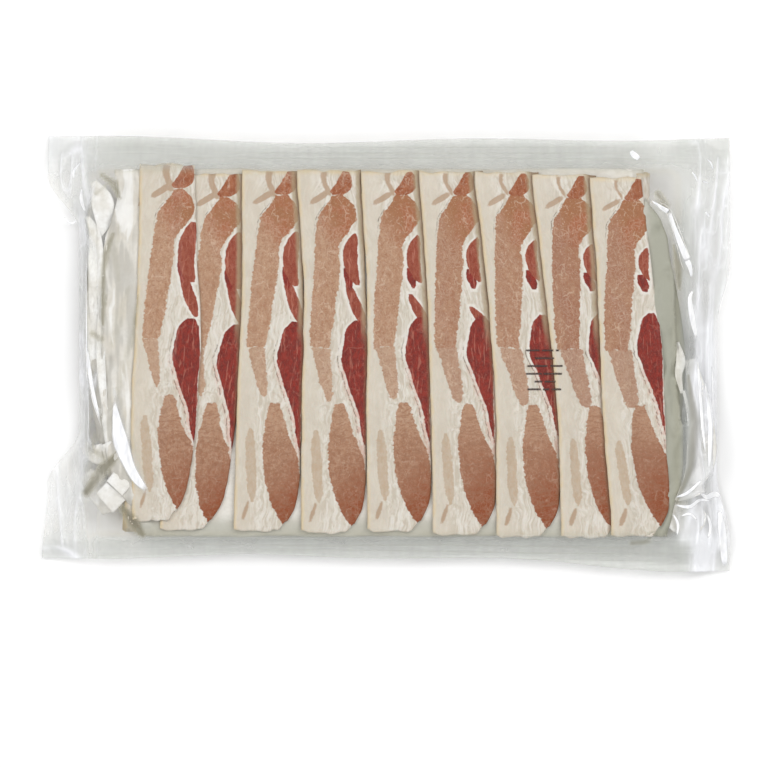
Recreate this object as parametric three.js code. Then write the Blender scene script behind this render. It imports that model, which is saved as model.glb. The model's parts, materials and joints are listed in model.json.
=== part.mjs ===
// A lay-flat pack of sliced bacon. Shingled slices lie on grease-proof paper, over more layers like them,
// and a clear bag is drawn over the whole stack. The bag's two ends are pressed into thin fins, which the
// height of the stack pulls in at the middle, so that the four corners stand out as ears.
// The pack is one closed body. Millimetres, +Z up, origin under the middle of the bag, slices up.

import * as THREE from 'three';

const { lerp, smoothstep, clamp } = THREE.MathUtils;

// The bag
const BAG_LENGTH = 486;
const BAG_WIDTH = 306;
const FIN_THICKNESS = 1.6;
const SIDE_FIN_HEIGHT = 9;
const END_FIN_HEIGHT = 7;
const EAR_HEIGHT = 3;
const LEFT_WAIST = { depth: 22, from: -72, to: 106, slope: 38 };
const RIGHT_WAIST = { depth: 9, from: -108, to: 42, slope: 44 };
const SIDE_WAVE = 1.6;
const EAR_SPREAD = 5;
const PLEAT_HEIGHT = 2.6;
const CREASE_HEIGHT = 0.7;

// The stack of paper-backed layers
const STACK = { left: -197, right: 212, front: -130, back: 132, height: 26.5 };

// The slices of the top layer. A lap line is an edge that shows, from the first slice's left edge to the last
// slice's right one: where it crosses the middle of the pack, and how many slices lie on either side of it.
// The first slice lies over its neighbour, and each later slice lies over the one before it.
const SLICE_THICKNESS = 2.3;
const LAP_LINES = [
  { x: -177, before: 0, after: 1 },
  { x: -131, before: 2, after: 1 },
  ...[-102, -56, -13, 30, 74, 116, 147].map((x) => ({ x, before: 1, after: 2 })),
  { x: 189, before: 1, after: 0 },
];
const FIRST_LEAN = 0.02;
const LAST_LEAN = -0.085;
const EDGE_STEP = 0.7;
const LAP_SHARE = 0.35;
const SLICE_FRONT = -124;
const SLICE_BACK = 128;

// How finely the surface is divided
const SHOULDER_STEPS = [0.22, 0.42, 0.6, 0.8, 1];
const END_STEPS = [0.12, 0.26, 0.42, 0.58, 0.76, 0.9, 1];
const ROWS_ON_STACK = 22;

// A flat-bottomed dip that is 1 between the two limits and falls to 0 over the slope outside them.
function waist(y, { from, to, slope }) {
  return smoothstep(y, from - slope / 2, from + slope / 2) * (1 - smoothstep(y, to - slope / 2, to + slope / 2));
}

// The bag's four edges, each as a distance from the middle.
function leftEdge(y) {
  const ear = EAR_SPREAD * smoothstep(-y, 0.3 * BAG_WIDTH, 0.5 * BAG_WIDTH);
  return -(BAG_LENGTH / 2 - EAR_SPREAD) - ear + LEFT_WAIST.depth * waist(y, LEFT_WAIST);
}

function rightEdge(y) {
  return BAG_LENGTH / 2 - RIGHT_WAIST.depth * waist(y, RIGHT_WAIST);
}

function backEdge(x) {
  const share = x / BAG_LENGTH;
  return BAG_WIDTH / 2 - 2 * SIDE_WAVE * Math.cos(Math.PI * share) + SIDE_WAVE * Math.sin(4 * Math.PI * share);
}

function frontEdge(x) {
  const share = x / BAG_LENGTH;
  const drop = 2 * EAR_SPREAD * smoothstep(share, 0, 0.5);
  return -(BAG_WIDTH / 2 - 2 * EAR_SPREAD) - drop - SIDE_WAVE * Math.cos(5 * Math.PI * share);
}

// Where a lap line lies at the distance y along the slices, which fan out a little from left to right.
function lapLineX(index, y) {
  return LAP_LINES[index].x + lerp(FIRST_LEAN, LAST_LEAN, index / (LAP_LINES.length - 1)) * y;
}

// Columns of the surface from left to right. Each gives its x at a distance y along the slices, its share
// of the way from the stack out to the bag's end, and how many slices are under it.
function makeColumns() {
  const columns = [];
  for (const share of [...END_STEPS].reverse()) {
    columns.push({ x: (y) => lerp(STACK.left, leftEdge(y), share), out: share, lap: 0 });
  }
  columns.push({ x: () => STACK.left, out: 0, lap: 0 });
  LAP_LINES.forEach(({ before, after }, index) => {
    columns.push({ x: (y) => lapLineX(index, y) - EDGE_STEP, out: 0, lap: before });
    columns.push({ x: (y) => lapLineX(index, y) + EDGE_STEP, out: 0, lap: after });
    if (index + 1 < LAP_LINES.length) {
      for (const share of [LAP_SHARE, (1 + LAP_SHARE) / 2]) {
        columns.push({ x: (y) => lerp(lapLineX(index, y), lapLineX(index + 1, y), share), out: 0, lap: 1 });
      }
    }
  });
  columns.push({ x: () => STACK.right, out: 0, lap: 0 });
  for (const share of END_STEPS) {
    columns.push({ x: (y) => lerp(STACK.right, rightEdge(y), share), out: share, lap: 0 });
  }
  return columns;
}

// Rows of the surface from front to back: the y at a distance x along the bag, and the share of the way from
// the stack out to the bag's side.
function makeRows() {
  const rows = [];
  for (const share of [...SHOULDER_STEPS].reverse()) {
    rows.push({ y: (x) => lerp(STACK.front, frontEdge(x), share), out: share });
  }
  for (let step = 0; step <= ROWS_ON_STACK; step += 1) {
    rows.push({ y: () => lerp(STACK.front, STACK.back, step / ROWS_ON_STACK), out: 0 });
  }
  for (const share of SHOULDER_STEPS) {
    rows.push({ y: (x) => lerp(STACK.back, backEdge(x), share), out: share });
  }
  return rows;
}

// The height of the fin's middle at the bag's rim: the sides stand higher than the ends, and the ears droop.
function finHeight(outX, outY) {
  const end = smoothstep(outX, 0, 1);
  const ear = end * smoothstep(outY, 0, 1);
  return lerp(lerp(SIDE_FIN_HEIGHT, END_FIN_HEIGHT, end), EAR_HEIGHT, ear);
}

// The heights of the bag's upper and under surface at one point.
function surfaceHeights(column, row, x, y) {
  const out = Math.min(1, Math.hypot(column.out, row.out));
  const onSlices = smoothstep(y, SLICE_FRONT - 3, SLICE_FRONT + 3) * (1 - smoothstep(y, SLICE_BACK - 3, SLICE_BACK + 3));
  const crown = STACK.height + SLICE_THICKNESS * column.lap * onSlices;
  const fin = finHeight(column.out, row.out);
  const fall = Math.sin((out * Math.PI) / 2) ** 1.4;
  const loose = Math.sin(Math.PI * out);
  const pleats = Math.cos((14 * Math.PI * y) / BAG_WIDTH + Math.sign(x)) * column.out * loose;
  const creases = Math.cos(4 * Math.PI * row.out) * row.out * loose * Math.sin((9 * Math.PI * x) / BAG_LENGTH);
  const relief = PLEAT_HEIGHT * pleats + CREASE_HEIGHT * creases;
  const top = lerp(crown, fin + FIN_THICKNESS / 2, fall) + relief;
  const under = (fin - FIN_THICKNESS / 2) * smoothstep(out, 0.05, 1);
  return { top, under: clamp(under, 0, top - FIN_THICKNESS / 2) };
}

// Joins the upper surface, the under surface and the rim into one closed mesh.
function sealedPackGeometry() {
  const columns = makeColumns();
  const rows = makeRows();
  const upper = [];
  const under = [];
  for (const column of columns) {
    for (const row of rows) {
      const nearX = column.x(0);
      const y = row.y(nearX);
      const x = column.x(y);
      const heights = surfaceHeights(column, row, x, y);
      upper.push(x, y, heights.top);
      under.push(x, y, heights.under);
    }
  }
  const size = columns.length * rows.length;
  const at = (i, j) => i * rows.length + j;
  const triangles = [];
  const addQuad = (a, b, c, d) => triangles.push(a, b, c, a, c, d);
  for (let i = 0; i + 1 < columns.length; i += 1) {
    for (let j = 0; j + 1 < rows.length; j += 1) {
      addQuad(at(i, j), at(i + 1, j), at(i + 1, j + 1), at(i, j + 1));
      addQuad(size + at(i, j), size + at(i, j + 1), size + at(i + 1, j + 1), size + at(i + 1, j));
    }
  }
  const lastRow = rows.length - 1;
  const lastColumn = columns.length - 1;
  for (let i = 0; i < lastColumn; i += 1) {
    addQuad(at(i + 1, 0), at(i, 0), size + at(i, 0), size + at(i + 1, 0));
    addQuad(at(i, lastRow), at(i + 1, lastRow), size + at(i + 1, lastRow), size + at(i, lastRow));
  }
  for (let j = 0; j < lastRow; j += 1) {
    addQuad(at(0, j), at(0, j + 1), size + at(0, j + 1), size + at(0, j));
    addQuad(at(lastColumn, j + 1), at(lastColumn, j), size + at(lastColumn, j), size + at(lastColumn, j + 1));
  }
  const geometry = new THREE.BufferGeometry();
  geometry.setAttribute('position', new THREE.Float32BufferAttribute([...upper, ...under], 3));
  geometry.setIndex(triangles);
  geometry.computeVertexNormals();
  return geometry;
}

// Moves the geometry so that its box stands centred on the origin.
function standOnOrigin(geometry) {
  geometry.computeBoundingBox();
  const middle = geometry.boundingBox.getCenter(new THREE.Vector3());
  return geometry.translate(-middle.x, -middle.y, -geometry.boundingBox.min.z);
}

const filmOverMeat = new THREE.MeshStandardMaterial({ color: 0xc9a592, roughness: 0.35, metalness: 0 });

const pack = new THREE.Mesh(standOnOrigin(sealedPackGeometry()), filmOverMeat);
pack.name = 'sealed_pack';

const group = new THREE.Group();
group.add(pack);

export default group;
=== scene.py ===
"""Bacon pack: shingled slices on grease-proof paper, over more layers like them, in a clear sealed bag.

Lengths in the code are millimetres from the middle of the pack's base, with X along the bag and Y along the
slices, until a mesh is made in metres.
"""

import json
import math

import bpy
import numpy as np
from mathutils.bvhtree import BVHTree
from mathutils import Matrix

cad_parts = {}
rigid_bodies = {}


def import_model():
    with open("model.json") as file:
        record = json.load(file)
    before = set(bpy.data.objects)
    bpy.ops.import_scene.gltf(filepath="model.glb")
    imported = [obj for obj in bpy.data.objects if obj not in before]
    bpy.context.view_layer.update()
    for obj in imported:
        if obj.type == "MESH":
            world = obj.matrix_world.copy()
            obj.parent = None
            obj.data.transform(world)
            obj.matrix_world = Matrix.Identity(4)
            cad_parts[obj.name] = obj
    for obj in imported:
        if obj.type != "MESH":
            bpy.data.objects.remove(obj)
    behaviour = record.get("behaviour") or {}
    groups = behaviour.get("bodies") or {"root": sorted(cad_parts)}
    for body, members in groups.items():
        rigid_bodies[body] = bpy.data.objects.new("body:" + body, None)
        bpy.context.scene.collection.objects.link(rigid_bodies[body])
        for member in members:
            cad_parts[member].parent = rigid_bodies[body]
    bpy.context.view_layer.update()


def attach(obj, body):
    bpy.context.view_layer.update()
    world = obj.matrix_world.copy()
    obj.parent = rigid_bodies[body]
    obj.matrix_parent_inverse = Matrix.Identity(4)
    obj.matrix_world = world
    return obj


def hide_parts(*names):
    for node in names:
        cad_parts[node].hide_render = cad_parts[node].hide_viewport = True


bl_info = {
    "name": "Bacon Pack",
    "version": (1, 0, 0),
    "blender": (4, 5, 0),
    "location": "View3D > Sidebar > Bacon Pack",
    "description": "Builds a clear bag of sliced bacon laid on grease-proof paper",
    "category": "Add Mesh",
}

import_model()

MM = 0.001
NODE = "sealed_pack"

# ---------------------------------------------------------------------------------------------------------
# Small mathematics


def smooth(value, low, high):
    """0 below low, 1 above high and a smooth ramp between them."""
    share = np.clip((value - low) / (high - low), 0.0, 1.0)
    return share * share * (3.0 - 2.0 * share)


def through(knots, heights, value):
    """A smooth curve through the given points, flat outside them."""
    knots = np.asarray(knots, float)
    heights = np.asarray(heights, float)
    slopes = np.gradient(heights, knots)
    value = np.clip(value, knots[0], knots[-1])
    piece = np.clip(np.searchsorted(knots, value, side="right") - 1, 0, len(knots) - 2)
    run = knots[piece + 1] - knots[piece]
    share = (value - knots[piece]) / run
    rise = heights[piece + 1] - heights[piece]
    start = slopes[piece] * run
    end = slopes[piece + 1] * run
    bend = share * (1.0 - share) * ((1.0 - share) * (start - rise) - share * (end - rise))
    return heights[piece] + share * rise + bend


def hashed(column, row, seed):
    """A repeatable random number from -1 to 1 for each cell of a lattice."""
    mixed = column.astype(np.int64) * 374761393 + row.astype(np.int64) * 668265263 + seed * 974634777
    mixed = (mixed ^ (mixed >> 13)) * 1274126177
    mixed = mixed ^ (mixed >> 16)
    return (mixed & 0xFFFFFF) / float(0x7FFFFF) - 1.0


def chance(column, row, seed):
    """One repeatable random number from -1 to 1."""
    return float(hashed(np.array([column]), np.array([row]), seed)[0])


def cloud(x, y, size, seed, octaves=1):
    """Smooth noise from about -1 to 1 with features of the given size."""
    total = np.zeros(np.broadcast(x, y).shape)
    weight = 1.0
    for octave in range(octaves):
        cell_x = x / size
        cell_y = y / size
        column = np.floor(cell_x)
        row = np.floor(cell_y)
        across = smooth(cell_x - column, 0.0, 1.0)
        along = smooth(cell_y - row, 0.0, 1.0)
        draw = seed + octave
        near = hashed(column, row, draw) * (1 - across) + hashed(column + 1, row, draw) * across
        far = hashed(column, row + 1, draw) * (1 - across) + hashed(column + 1, row + 1, draw) * across
        total = total + weight * (near * (1 - along) + far * along)
        weight *= 0.5
        size *= 0.5
    return total


def creases(x, y, size, seed, sharpness=3.0):
    """Sharp-topped ridges from 0 to 1, like the folds in crumpled sheet."""
    wander_x = 0.35 * size * cloud(x, y, 1.7 * size, seed + 50)
    wander_y = 0.35 * size * cloud(x, y, 1.7 * size, seed + 60)
    field = cloud(x + wander_x, y + wander_y, size, seed)
    return np.clip(1.0 - np.abs(field) * 1.6, 0.0, 1.0) ** sharpness


# ---------------------------------------------------------------------------------------------------------
# Meshes


def new_object(name, points, faces, material):
    """A smooth-shaded mesh object from points in millimetres and quads or triangles."""
    mesh = bpy.data.meshes.new(name)
    mesh.vertices.add(len(points))
    mesh.vertices.foreach_set("co", (np.asarray(points) * MM).astype(np.float32).ravel())
    sizes = np.array([len(face) for face in faces], np.int32)
    corners = np.concatenate([np.asarray(face, np.int32) for face in faces])
    mesh.loops.add(len(corners))
    mesh.loops.foreach_set("vertex_index", corners)
    mesh.polygons.add(len(sizes))
    mesh.polygons.foreach_set("loop_start", np.concatenate([[0], np.cumsum(sizes)[:-1]]).astype(np.int32))
    mesh.polygons.foreach_set("use_smooth", np.ones(len(sizes), bool))
    mesh.update(calc_edges=True)
    mesh.validate()
    mesh.materials.append(material)
    thing = bpy.data.objects.new(name, mesh)
    bpy.context.scene.collection.objects.link(thing)
    return thing


def sheet_faces(across, along, first=0, flip=False):
    """Quads of a grid whose points run along each column in turn."""
    columns, rows = np.meshgrid(np.arange(across - 1), np.arange(along - 1), indexing="ij")
    corner = first + columns * along + rows
    quads = np.stack([corner, corner + along, corner + along + 1, corner + 1], axis=-1).reshape(-1, 4)
    return quads[:, ::-1] if flip else quads


def rim_faces(across, along, second):
    """Quads that close the gap between a grid and a second one like it that lies under it."""
    low = np.arange(across) * along
    high = low + along - 1
    left = np.arange(along)
    right = (across - 1) * along + left
    loops = [low[::-1], high, left, right[::-1]]
    quads = []
    for edge in loops:
        near = edge[:-1]
        far = edge[1:]
        quads.append(np.stack([near, far, far + second, near + second], axis=-1))
    return np.concatenate(quads)


def slab_faces(across, along):
    """Quads of a grid, of a second one like it under it, and of the rim between them."""
    second = across * along
    upper = sheet_faces(across, along)
    lower = sheet_faces(across, along, second, flip=True)
    return np.concatenate([upper, lower, rim_faces(across, along, second)])


# The bands of a baked picture: where it starts and how much of it they fill.
BAKE_WIDE = (0.01, 0.98)
BAKE_TOP = (0.14, 0.85)
BAKE_UNDER = (0.01, 0.07)
BAKE_RIM = (0.1, 0.02)
BAKE_GAP = 0.012


def in_band(band, share):
    """A share of the way across a band of the baked picture."""
    return band[0] + band[1] * share


def bake_layout(mesh, across, along, strips):
    """Lays the top grid of a slab out in side-by-side strips, with its underside and rim in bands below."""
    quads_each = (across - 1) * (along - 1)
    layer = mesh.uv_layers.new(name="OFBake")
    columns, rows = np.meshgrid(np.arange(across - 1), np.arange(along - 1), indexing="ij")
    rows_each = math.ceil((along - 1) / strips)
    strip = rows // rows_each
    corner_columns = [0, 1, 1, 0]
    corner_rows = [0, 0, 1, 1]
    top = np.zeros((quads_each, 4, 2))
    under = np.zeros((quads_each, 4, 2))
    for corner in range(4):
        column = (columns + corner_columns[corner]) / (across - 1)
        row = (rows + corner_rows[corner] - strip * rows_each) / rows_each
        wide = (strip + column * (1 - 2 * BAKE_GAP * strips) + BAKE_GAP * strips) / strips
        top[:, corner, 0] = wide.ravel()
        top[:, corner, 1] = in_band(BAKE_TOP, row).ravel()
        under[:, corner, 0] = in_band(BAKE_WIDE, (rows + corner_rows[corner]) / (along - 1)).ravel()
        under[:, corner, 1] = in_band(BAKE_UNDER, column).ravel()
    rim_count = 2 * (across - 1) + 2 * (along - 1)
    rim = np.zeros((rim_count, 4, 2))
    at = np.arange(rim_count) / rim_count
    for corner, (step, up) in enumerate([(0, 0), (1, 0), (1, 1), (0, 1)]):
        rim[:, corner, 0] = in_band(BAKE_WIDE, at + step / rim_count)
        rim[:, corner, 1] = in_band(BAKE_RIM, up)
    coordinates = np.concatenate([top, under[:, ::-1], rim]).astype(np.float32)
    layer.data.foreach_set("uv", coordinates.ravel())


def slab(name, top, under, material, strips=1):
    """A closed mesh between two grids of points that share their outline."""
    across, along = top.shape[:2]
    points = np.concatenate([top.reshape(-1, 3), under.reshape(-1, 3)])
    thing = new_object(name, points, slab_faces(across, along), material)
    bake_layout(thing.data, across, along, strips)
    return thing


def mark(thing, name, values):
    """Stores a vector for each point of a mesh, for its material to read."""
    values = np.asarray(values, np.float32)
    thing.data.attributes.new(name, "FLOAT_VECTOR", "POINT").data.foreach_set("vector", values.ravel())


def belongs(thing):
    """Puts a piece on the pack's one body, in place of the plain solid."""
    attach(thing, "root")
    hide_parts(NODE)


# ---------------------------------------------------------------------------------------------------------
# Materials


def linear(red, green, blue):
    """A screen colour from 0 to 255 as the linear colour that a shader takes."""
    channels = [value / 255.0 for value in (red, green, blue)]
    return tuple(c / 12.92 if c <= 0.04045 else ((c + 0.055) / 1.055) ** 2.4 for c in channels) + (1.0,)


class Recipe:
    """A material's node tree, built one node to a call."""

    def __init__(self, name):
        self.material = bpy.data.materials.new(name)
        self.material.use_nodes = True
        self.nodes = self.material.node_tree.nodes
        self.links = self.material.node_tree.links
        self.nodes.clear()
        self.out = self.nodes.new("ShaderNodeOutputMaterial")

    def node(self, kind, sockets, **settings):
        """A new node with its sockets linked or set, and its settings."""
        made = self.nodes.new(kind)
        for key, value in settings.items():
            setattr(made, key, value)
        for key, value in sockets.items():
            if isinstance(value, bpy.types.NodeSocket):
                self.links.new(value, made.inputs[key])
            else:
                made.inputs[key].default_value = value
        return made

    def calc(self, operation, first, second=0.0):
        """A sum of the named kind on one or two values."""
        return self.node("ShaderNodeMath", {0: first, 1: second}, operation=operation).outputs[0]

    def plus(self, first, second):
        """Two values added."""
        return self.calc("ADD", first, second)

    def times(self, first, second):
        """Two values multiplied."""
        return self.calc("MULTIPLY", first, second)

    def ramp(self, value, low, high, start=0.0, end=1.0):
        """A smooth ramp of a value, from start at low to end at high."""
        sockets = {"Value": value, "From Min": low, "From Max": high, "To Min": start, "To Max": end}
        made = self.node("ShaderNodeMapRange", sockets, interpolation_type="SMOOTHSTEP")
        return made.outputs["Result"]

    def blend(self, share, first, second):
        """A colour that is the second one by the given share."""
        made = self.node("ShaderNodeMix", {0: share}, data_type="RGBA")
        for key, value in ((6, first), (7, second)):
            if isinstance(value, bpy.types.NodeSocket):
                self.links.new(value, made.inputs[key])
            else:
                made.inputs[key].default_value = value
        return made.outputs[2]

    def attribute(self, name):
        """The vector that a mesh stores under a name."""
        return self.node("ShaderNodeAttribute", {}, attribute_name=name).outputs["Vector"]

    def parts(self, vector):
        """A vector's three numbers."""
        return self.node("ShaderNodeSeparateXYZ", {0: vector}).outputs

    def stretch(self, vector, scale, turn=0.0):
        """A vector scaled along its axes and turned about the third one."""
        sockets = {"Vector": vector, "Scale": scale, "Rotation": (0.0, 0.0, turn)}
        return self.node("ShaderNodeMapping", sockets).outputs[0]

    def noise(self, vector, scale, detail=2.0, roughness=0.5):
        """Cloudy noise from 0 to 1."""
        sockets = {"Vector": vector, "Scale": scale, "Detail": detail, "Roughness": roughness}
        return self.node("ShaderNodeTexNoise", sockets).outputs["Fac"]

    def cells(self, vector, scale):
        """How far a place is from the nearest edge of a net of cells."""
        sockets = {"Vector": vector, "Scale": scale}
        return self.node("ShaderNodeTexVoronoi", sockets, feature="DISTANCE_TO_EDGE").outputs["Distance"]

    def centred(self, value, size):
        """A noise value moved to lie round zero, over the given range."""
        return self.times(self.calc("SUBTRACT", value, 0.5), size)

    def warp(self, vector, scale, amount):
        """A vector bent by slow noise."""
        noise = self.node("ShaderNodeTexNoise", {"Vector": vector, "Scale": scale, "Detail": 2.0})
        middle = {0: noise.outputs["Color"], 1: (0.5, 0.5, 0.5)}
        centred = self.node("ShaderNodeVectorMath", middle, operation="SUBTRACT").outputs[0]
        made = self.node("ShaderNodeVectorMath", {0: centred, 2: vector}, operation="MULTIPLY_ADD")
        made.inputs[1].default_value = (amount, amount, amount)
        return made.outputs[0]

    def relief(self, height, strength, distance):
        """A surface direction that follows a small relief."""
        sockets = {"Height": height, "Strength": strength, "Distance": distance}
        return self.node("ShaderNodeBump", sockets).outputs["Normal"]

    def principled(self, sockets):
        """The surface that most finishes use."""
        return self.node("ShaderNodeBsdfPrincipled", sockets).outputs[0]

    def finish(self, surface):
        """Puts a surface on the material and hands the material back."""
        self.links.new(surface, self.out.inputs["Surface"])
        return self.material


# ---------------------------------------------------------------------------------------------------------
# The slices

SLICE_LENGTH = 250.0
SLICE_THICKNESS = 2.3
LAP_LIFT = SLICE_THICKNESS * 1.06
PAPER_LEVEL = 25.4
SLICE_COLUMNS = 46
SLICE_ROWS = 230

# The first slice narrows towards its front end; those after it are wider at the back, where they lap.
FRONT_NARROWING = 6.5
BACK_WIDENING = 6.2

# Where each slice lies: its left edge at four places from its back end to its front end, then its ends.
EDGE_PLACES = (120.0, 45.0, -45.0, -115.0)
SLICES = (
    ((-172.0, -174.0, -178.2, -177.5), 132.5, -115.5),
    ((-140.5, -141.0, -149.0, -158.0), 126.5, -122.0),
    ((-100.5, -100.5, -104.3, -106.0), 128.0, -123.0),
    ((-61.6, -57.3, -58.6, -59.2), 128.0, -124.5),
    ((-17.2, -13.0, -13.3, -12.6), 127.5, -123.0),
    ((23.5, 29.3, 31.9, 33.3), 127.5, -125.5),
    ((62.7, 71.3, 77.2, 77.7), 127.0, -127.0),
    ((102.6, 111.7, 120.6, 122.9), 125.0, -127.0),
    ((143.2, 148.5, 152.3, 157.9), 123.0, -126.5),
)

# A slice's width at distances along it, in shares of its length.
WIDTH_PLACES = (0.0, 0.1, 0.27, 0.47, 0.68, 0.8, 0.9, 0.96, 1.0)
WIDTHS = (38.5, 39.6, 41.5, 46.3, 46.4, 45.6, 45.0, 42.5, 37.5)
WIDTH_FACTORS = (1.0, 0.97, 1.0, 1.0, 1.0, 1.0, 1.0, 1.0, 0.94)

# Each muscle's outline on the third slice: distance from the back end, then its left and right side as
# distances from the slice's left edge. The drift is how far its back, front, left and right have moved by the
# last slice, as all of the slices are cut from one belly.
MUSCLES = {
    "band": (
        ((17, 24.3, 31.3), (21, 21.8, 35.8), (26, 18.0, 38.6), (32, 13.5, 39.6), (41, 11.4, 34.2),
         (50, 10.0, 27.0), (64, 8.5, 25.6), (76, 7.1, 24.4), (89, 5.9, 22.2), (106, 5.1, 20.6),
         (123.2, 4.8, 17.6)),
        (-1.5, -2.0, -1.5, 1.5),
    ),
    "tongue": (
        ((123.0, 5.2, 17.6), (135, 9.2, 18.9), (146, 12.4, 20.3), (154, 15.3, 20.8), (158.5, 17.6, 19.4)),
        (-2.0, 3.0, 0.0, 4.5),
    ),
    "tip": (
        ((0.2, 32.0, 36.4), (3, 30.4, 37.6), (6, 28.6, 38.2), (9, 26.8, 38.2), (12, 24.6, 37.8),
         (14.6, 22.8, 35.6), (16.8, 24.5, 31.6)),
        (0.5, -0.5, 0.5, -0.5),
    ),
    "eye": (
        ((42.5, 37.2, 39.2), (46, 33.6, 39.9), (53, 29.6, 39.6), (61, 28.4, 39.3), (68, 29.0, 39.0),
         (74, 31.2, 39.3), (78, 33.4, 39.7), (80.6, 35.9, 39.4)),
        (5.0, -8.0, 1.2, -2.6),
    ),
    "bead": (
        ((67, 28.4, 30.6), (72, 28.0, 32.8), (76, 28.6, 34.0), (80, 30.4, 33.8), (83, 31.6, 32.8)),
        (1.0, -3.0, 0.2, 2.2),
    ),
    "tail": (
        ((72, 29.2, 31.4), (77, 29.2, 34.2), (87, 31.1, 38.6), (93, 32.7, 41.0), (101, 36.4, 43.6),
         (108, 41.2, 43.8)),
        (0.0, 0.0, 0.0, 0.0),
    ),
    "red": (
        ((105.4, 35.8, 41.0), (109, 32.0, 43.2), (119, 28.7, 44.9), (129, 26.8, 45.6), (135, 27.1, 45.7),
         (141, 29.4, 45.6), (152, 33.1, 45.4), (162, 36.8, 45.2), (171, 39.9, 45.0), (183, 41.6, 45.2),
         (194, 44.3, 45.4), (199, 45.2, 45.6)),
        (-10.5, -12.0, -0.8, -2.2),
    ),
    "oval": (
        ((162, 23.4, 29.4), (169, 21.4, 31.9), (178, 20.0, 34.5), (187, 19.0, 38.0), (196, 19.0, 42.3),
         (204, 19.6, 44.2), (212, 20.3, 45.0), (223, 22.9, 45.2), (234, 26.8, 44.2), (242, 31.2, 41.4),
         (248.5, 36.0, 37.6)),
        (-2.0, -3.0, -0.4, 0.0),
    ),
    "strip": (
        ((179, 8.6, 10.9), (186, 7.2, 12.8), (200, 7.3, 14.3), (214, 8.0, 14.7), (225, 9.6, 15.0),
         (231, 12.0, 13.0)),
        (5.0, -0.5, 0.3, 0.0),
    ),
    "vein": (
        ((0.6, 16.8, 21.3), (5, 16.5, 20.8), (9, 17.4, 21.3), (13, 18.9, 23.2), (18, 21.2, 23.8)),
        (1.0, -3.0, 0.4, -1.6),
    ),
    "branch": (
        ((14.0, 18.6, 22.6), (17, 13.8, 21.2), (20, 9.4, 17.0), (23.4, 7.2, 10.6)),
        (1.0, 0.0, -1.0, -2.0),
    ),
    "speck": (
        ((230, 9.7, 10.6), (234, 7.9, 10.2), (239, 5.9, 8.7), (243, 5.5, 6.8)),
        (2.0, 1.0, 0.0, 1.0),
    ),
}

# The slice that the outlines are given for, and the last one.
THIRD = 2
LAST = 8

# The share of its length that the tail muscle still has on each slice.
TAIL_SHRINK = (1.0, 1.0, 1.0, 0.86, 0.62, 0.4, 0.0, 0.0, 0.0)

# How much pinker and darker the lean of each slice is.
TONES = (0.05, 0.1, 0.05, 0.1, 0.15, 0.6, 0.5, 1.0, 0.8)

# Distances that stand for "far away": to a muscle that a slice hasn't got, and to a slice that isn't there.
NO_MUSCLE = -9.0
NO_LAP = 99.0


def muscle_depth(name, index, along, across):
    """How far inside a muscle each point of a slice is, in millimetres. It is negative in the fat outside."""
    stations, drift = MUSCLES[name]
    age = (index - THIRD) / (LAST - THIRD)
    places, left, right = (np.array(column, float) for column in zip(*stations))
    start = places[0] + drift[0] * age
    end = places[-1] + drift[1] * age
    if name == "tail":
        start = end - (end - start) * TAIL_SHRINK[index]
    if end - start < 1.0:
        return np.full(along.shape, NO_MUSCLE)
    place = places[0] + (along - start) * (places[-1] - places[0]) / (end - start)
    left_side = through(places, left + drift[2] * age, place)
    right_side = through(places, right + drift[3] * age, place)
    sides = np.minimum(across - left_side, right_side - across)
    wave = 0.9 * cloud(across, along * 0.0 + 9.0 * index, 6.0, 61)
    ends = np.minimum(along - start, end - along)
    if name in ("band", "tongue"):
        ends = np.minimum(along - start + wave, end - along - wave)
    return np.minimum(sides, ends)


def slice_edge(index, y):
    """The X of a slice's left edge at a distance Y along the pack."""
    edges = SLICES[index][0]
    line = through([-p for p in EDGE_PLACES], edges, -y)
    ripple = 0.35 * cloud(y, np.zeros_like(y) + 40.0 * index, 17.0, 3)
    return line + ripple + 0.15 * cloud(y, y * 0.0, 5.0, 5 + index)


def slice_width(index, share):
    """A slice's width at a share of the way from its back end to its front end."""
    wide = through(WIDTH_PLACES, WIDTHS, share) * WIDTH_FACTORS[index]
    if index == 0:
        wide = wide - FRONT_NARROWING * smooth(share, 0.72, 0.98)
    elif index < LAST:
        wide = wide + BACK_WIDENING * (1.0 - smooth(share, 0.12, 0.36))
    return wide


def slice_grid(index):
    """The places of a slice's points: across and along it in millimetres, and X and Y on the pack."""
    back, front = SLICES[index][1:]
    columns = np.linspace(0.0, 1.0, SLICE_COLUMNS)
    rows = np.linspace(0.0, 1.0, SLICE_ROWS)
    column, row = np.meshgrid(columns, rows, indexing="ij")
    wide = slice_width(index, row)
    across = column * wide
    back_ragged = 1.2 * cloud(across, across * 0.0 + 7.0 * index, 9.0, 11, 2)
    front_cut = 7.0 * smooth(column, 0.8, 1.0) - 1.6 * smooth(column, 0.0, 0.15)
    front_ragged = 1.0 * cloud(across, across * 0.0 + 5.0 * index, 7.0, 12, 2)
    first = back - back_ragged
    last = front + front_cut * smooth(row, 0.5, 1.0) + front_ragged
    y = first + (last - first) * row
    along = (back - y) * SLICE_LENGTH / (back - front)
    x = slice_edge(index, y) + across
    return column, row, across, along, x, y


def lap_height(index, x, y, column, row, wide):
    """How far a slice is lifted by its neighbours under it."""
    across = column * wide
    lift = np.zeros_like(x)
    if index >= 2:
        previous = slice_edge(index - 1, y) + slice_width(index - 1, row)
        lap = np.clip(previous - slice_edge(index, y), 0.0, 30.0)
        lift = LAP_LIFT * (1.0 - smooth(across, lap + 1.0, lap + 13.0)) * smooth(lap, -1.0, 0.6)
    if index == 0:
        under_edge = slice_edge(1, y)
        lift = LAP_LIFT * smooth(x, under_edge - 11.0, under_edge - 0.8)
    return lift


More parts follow.
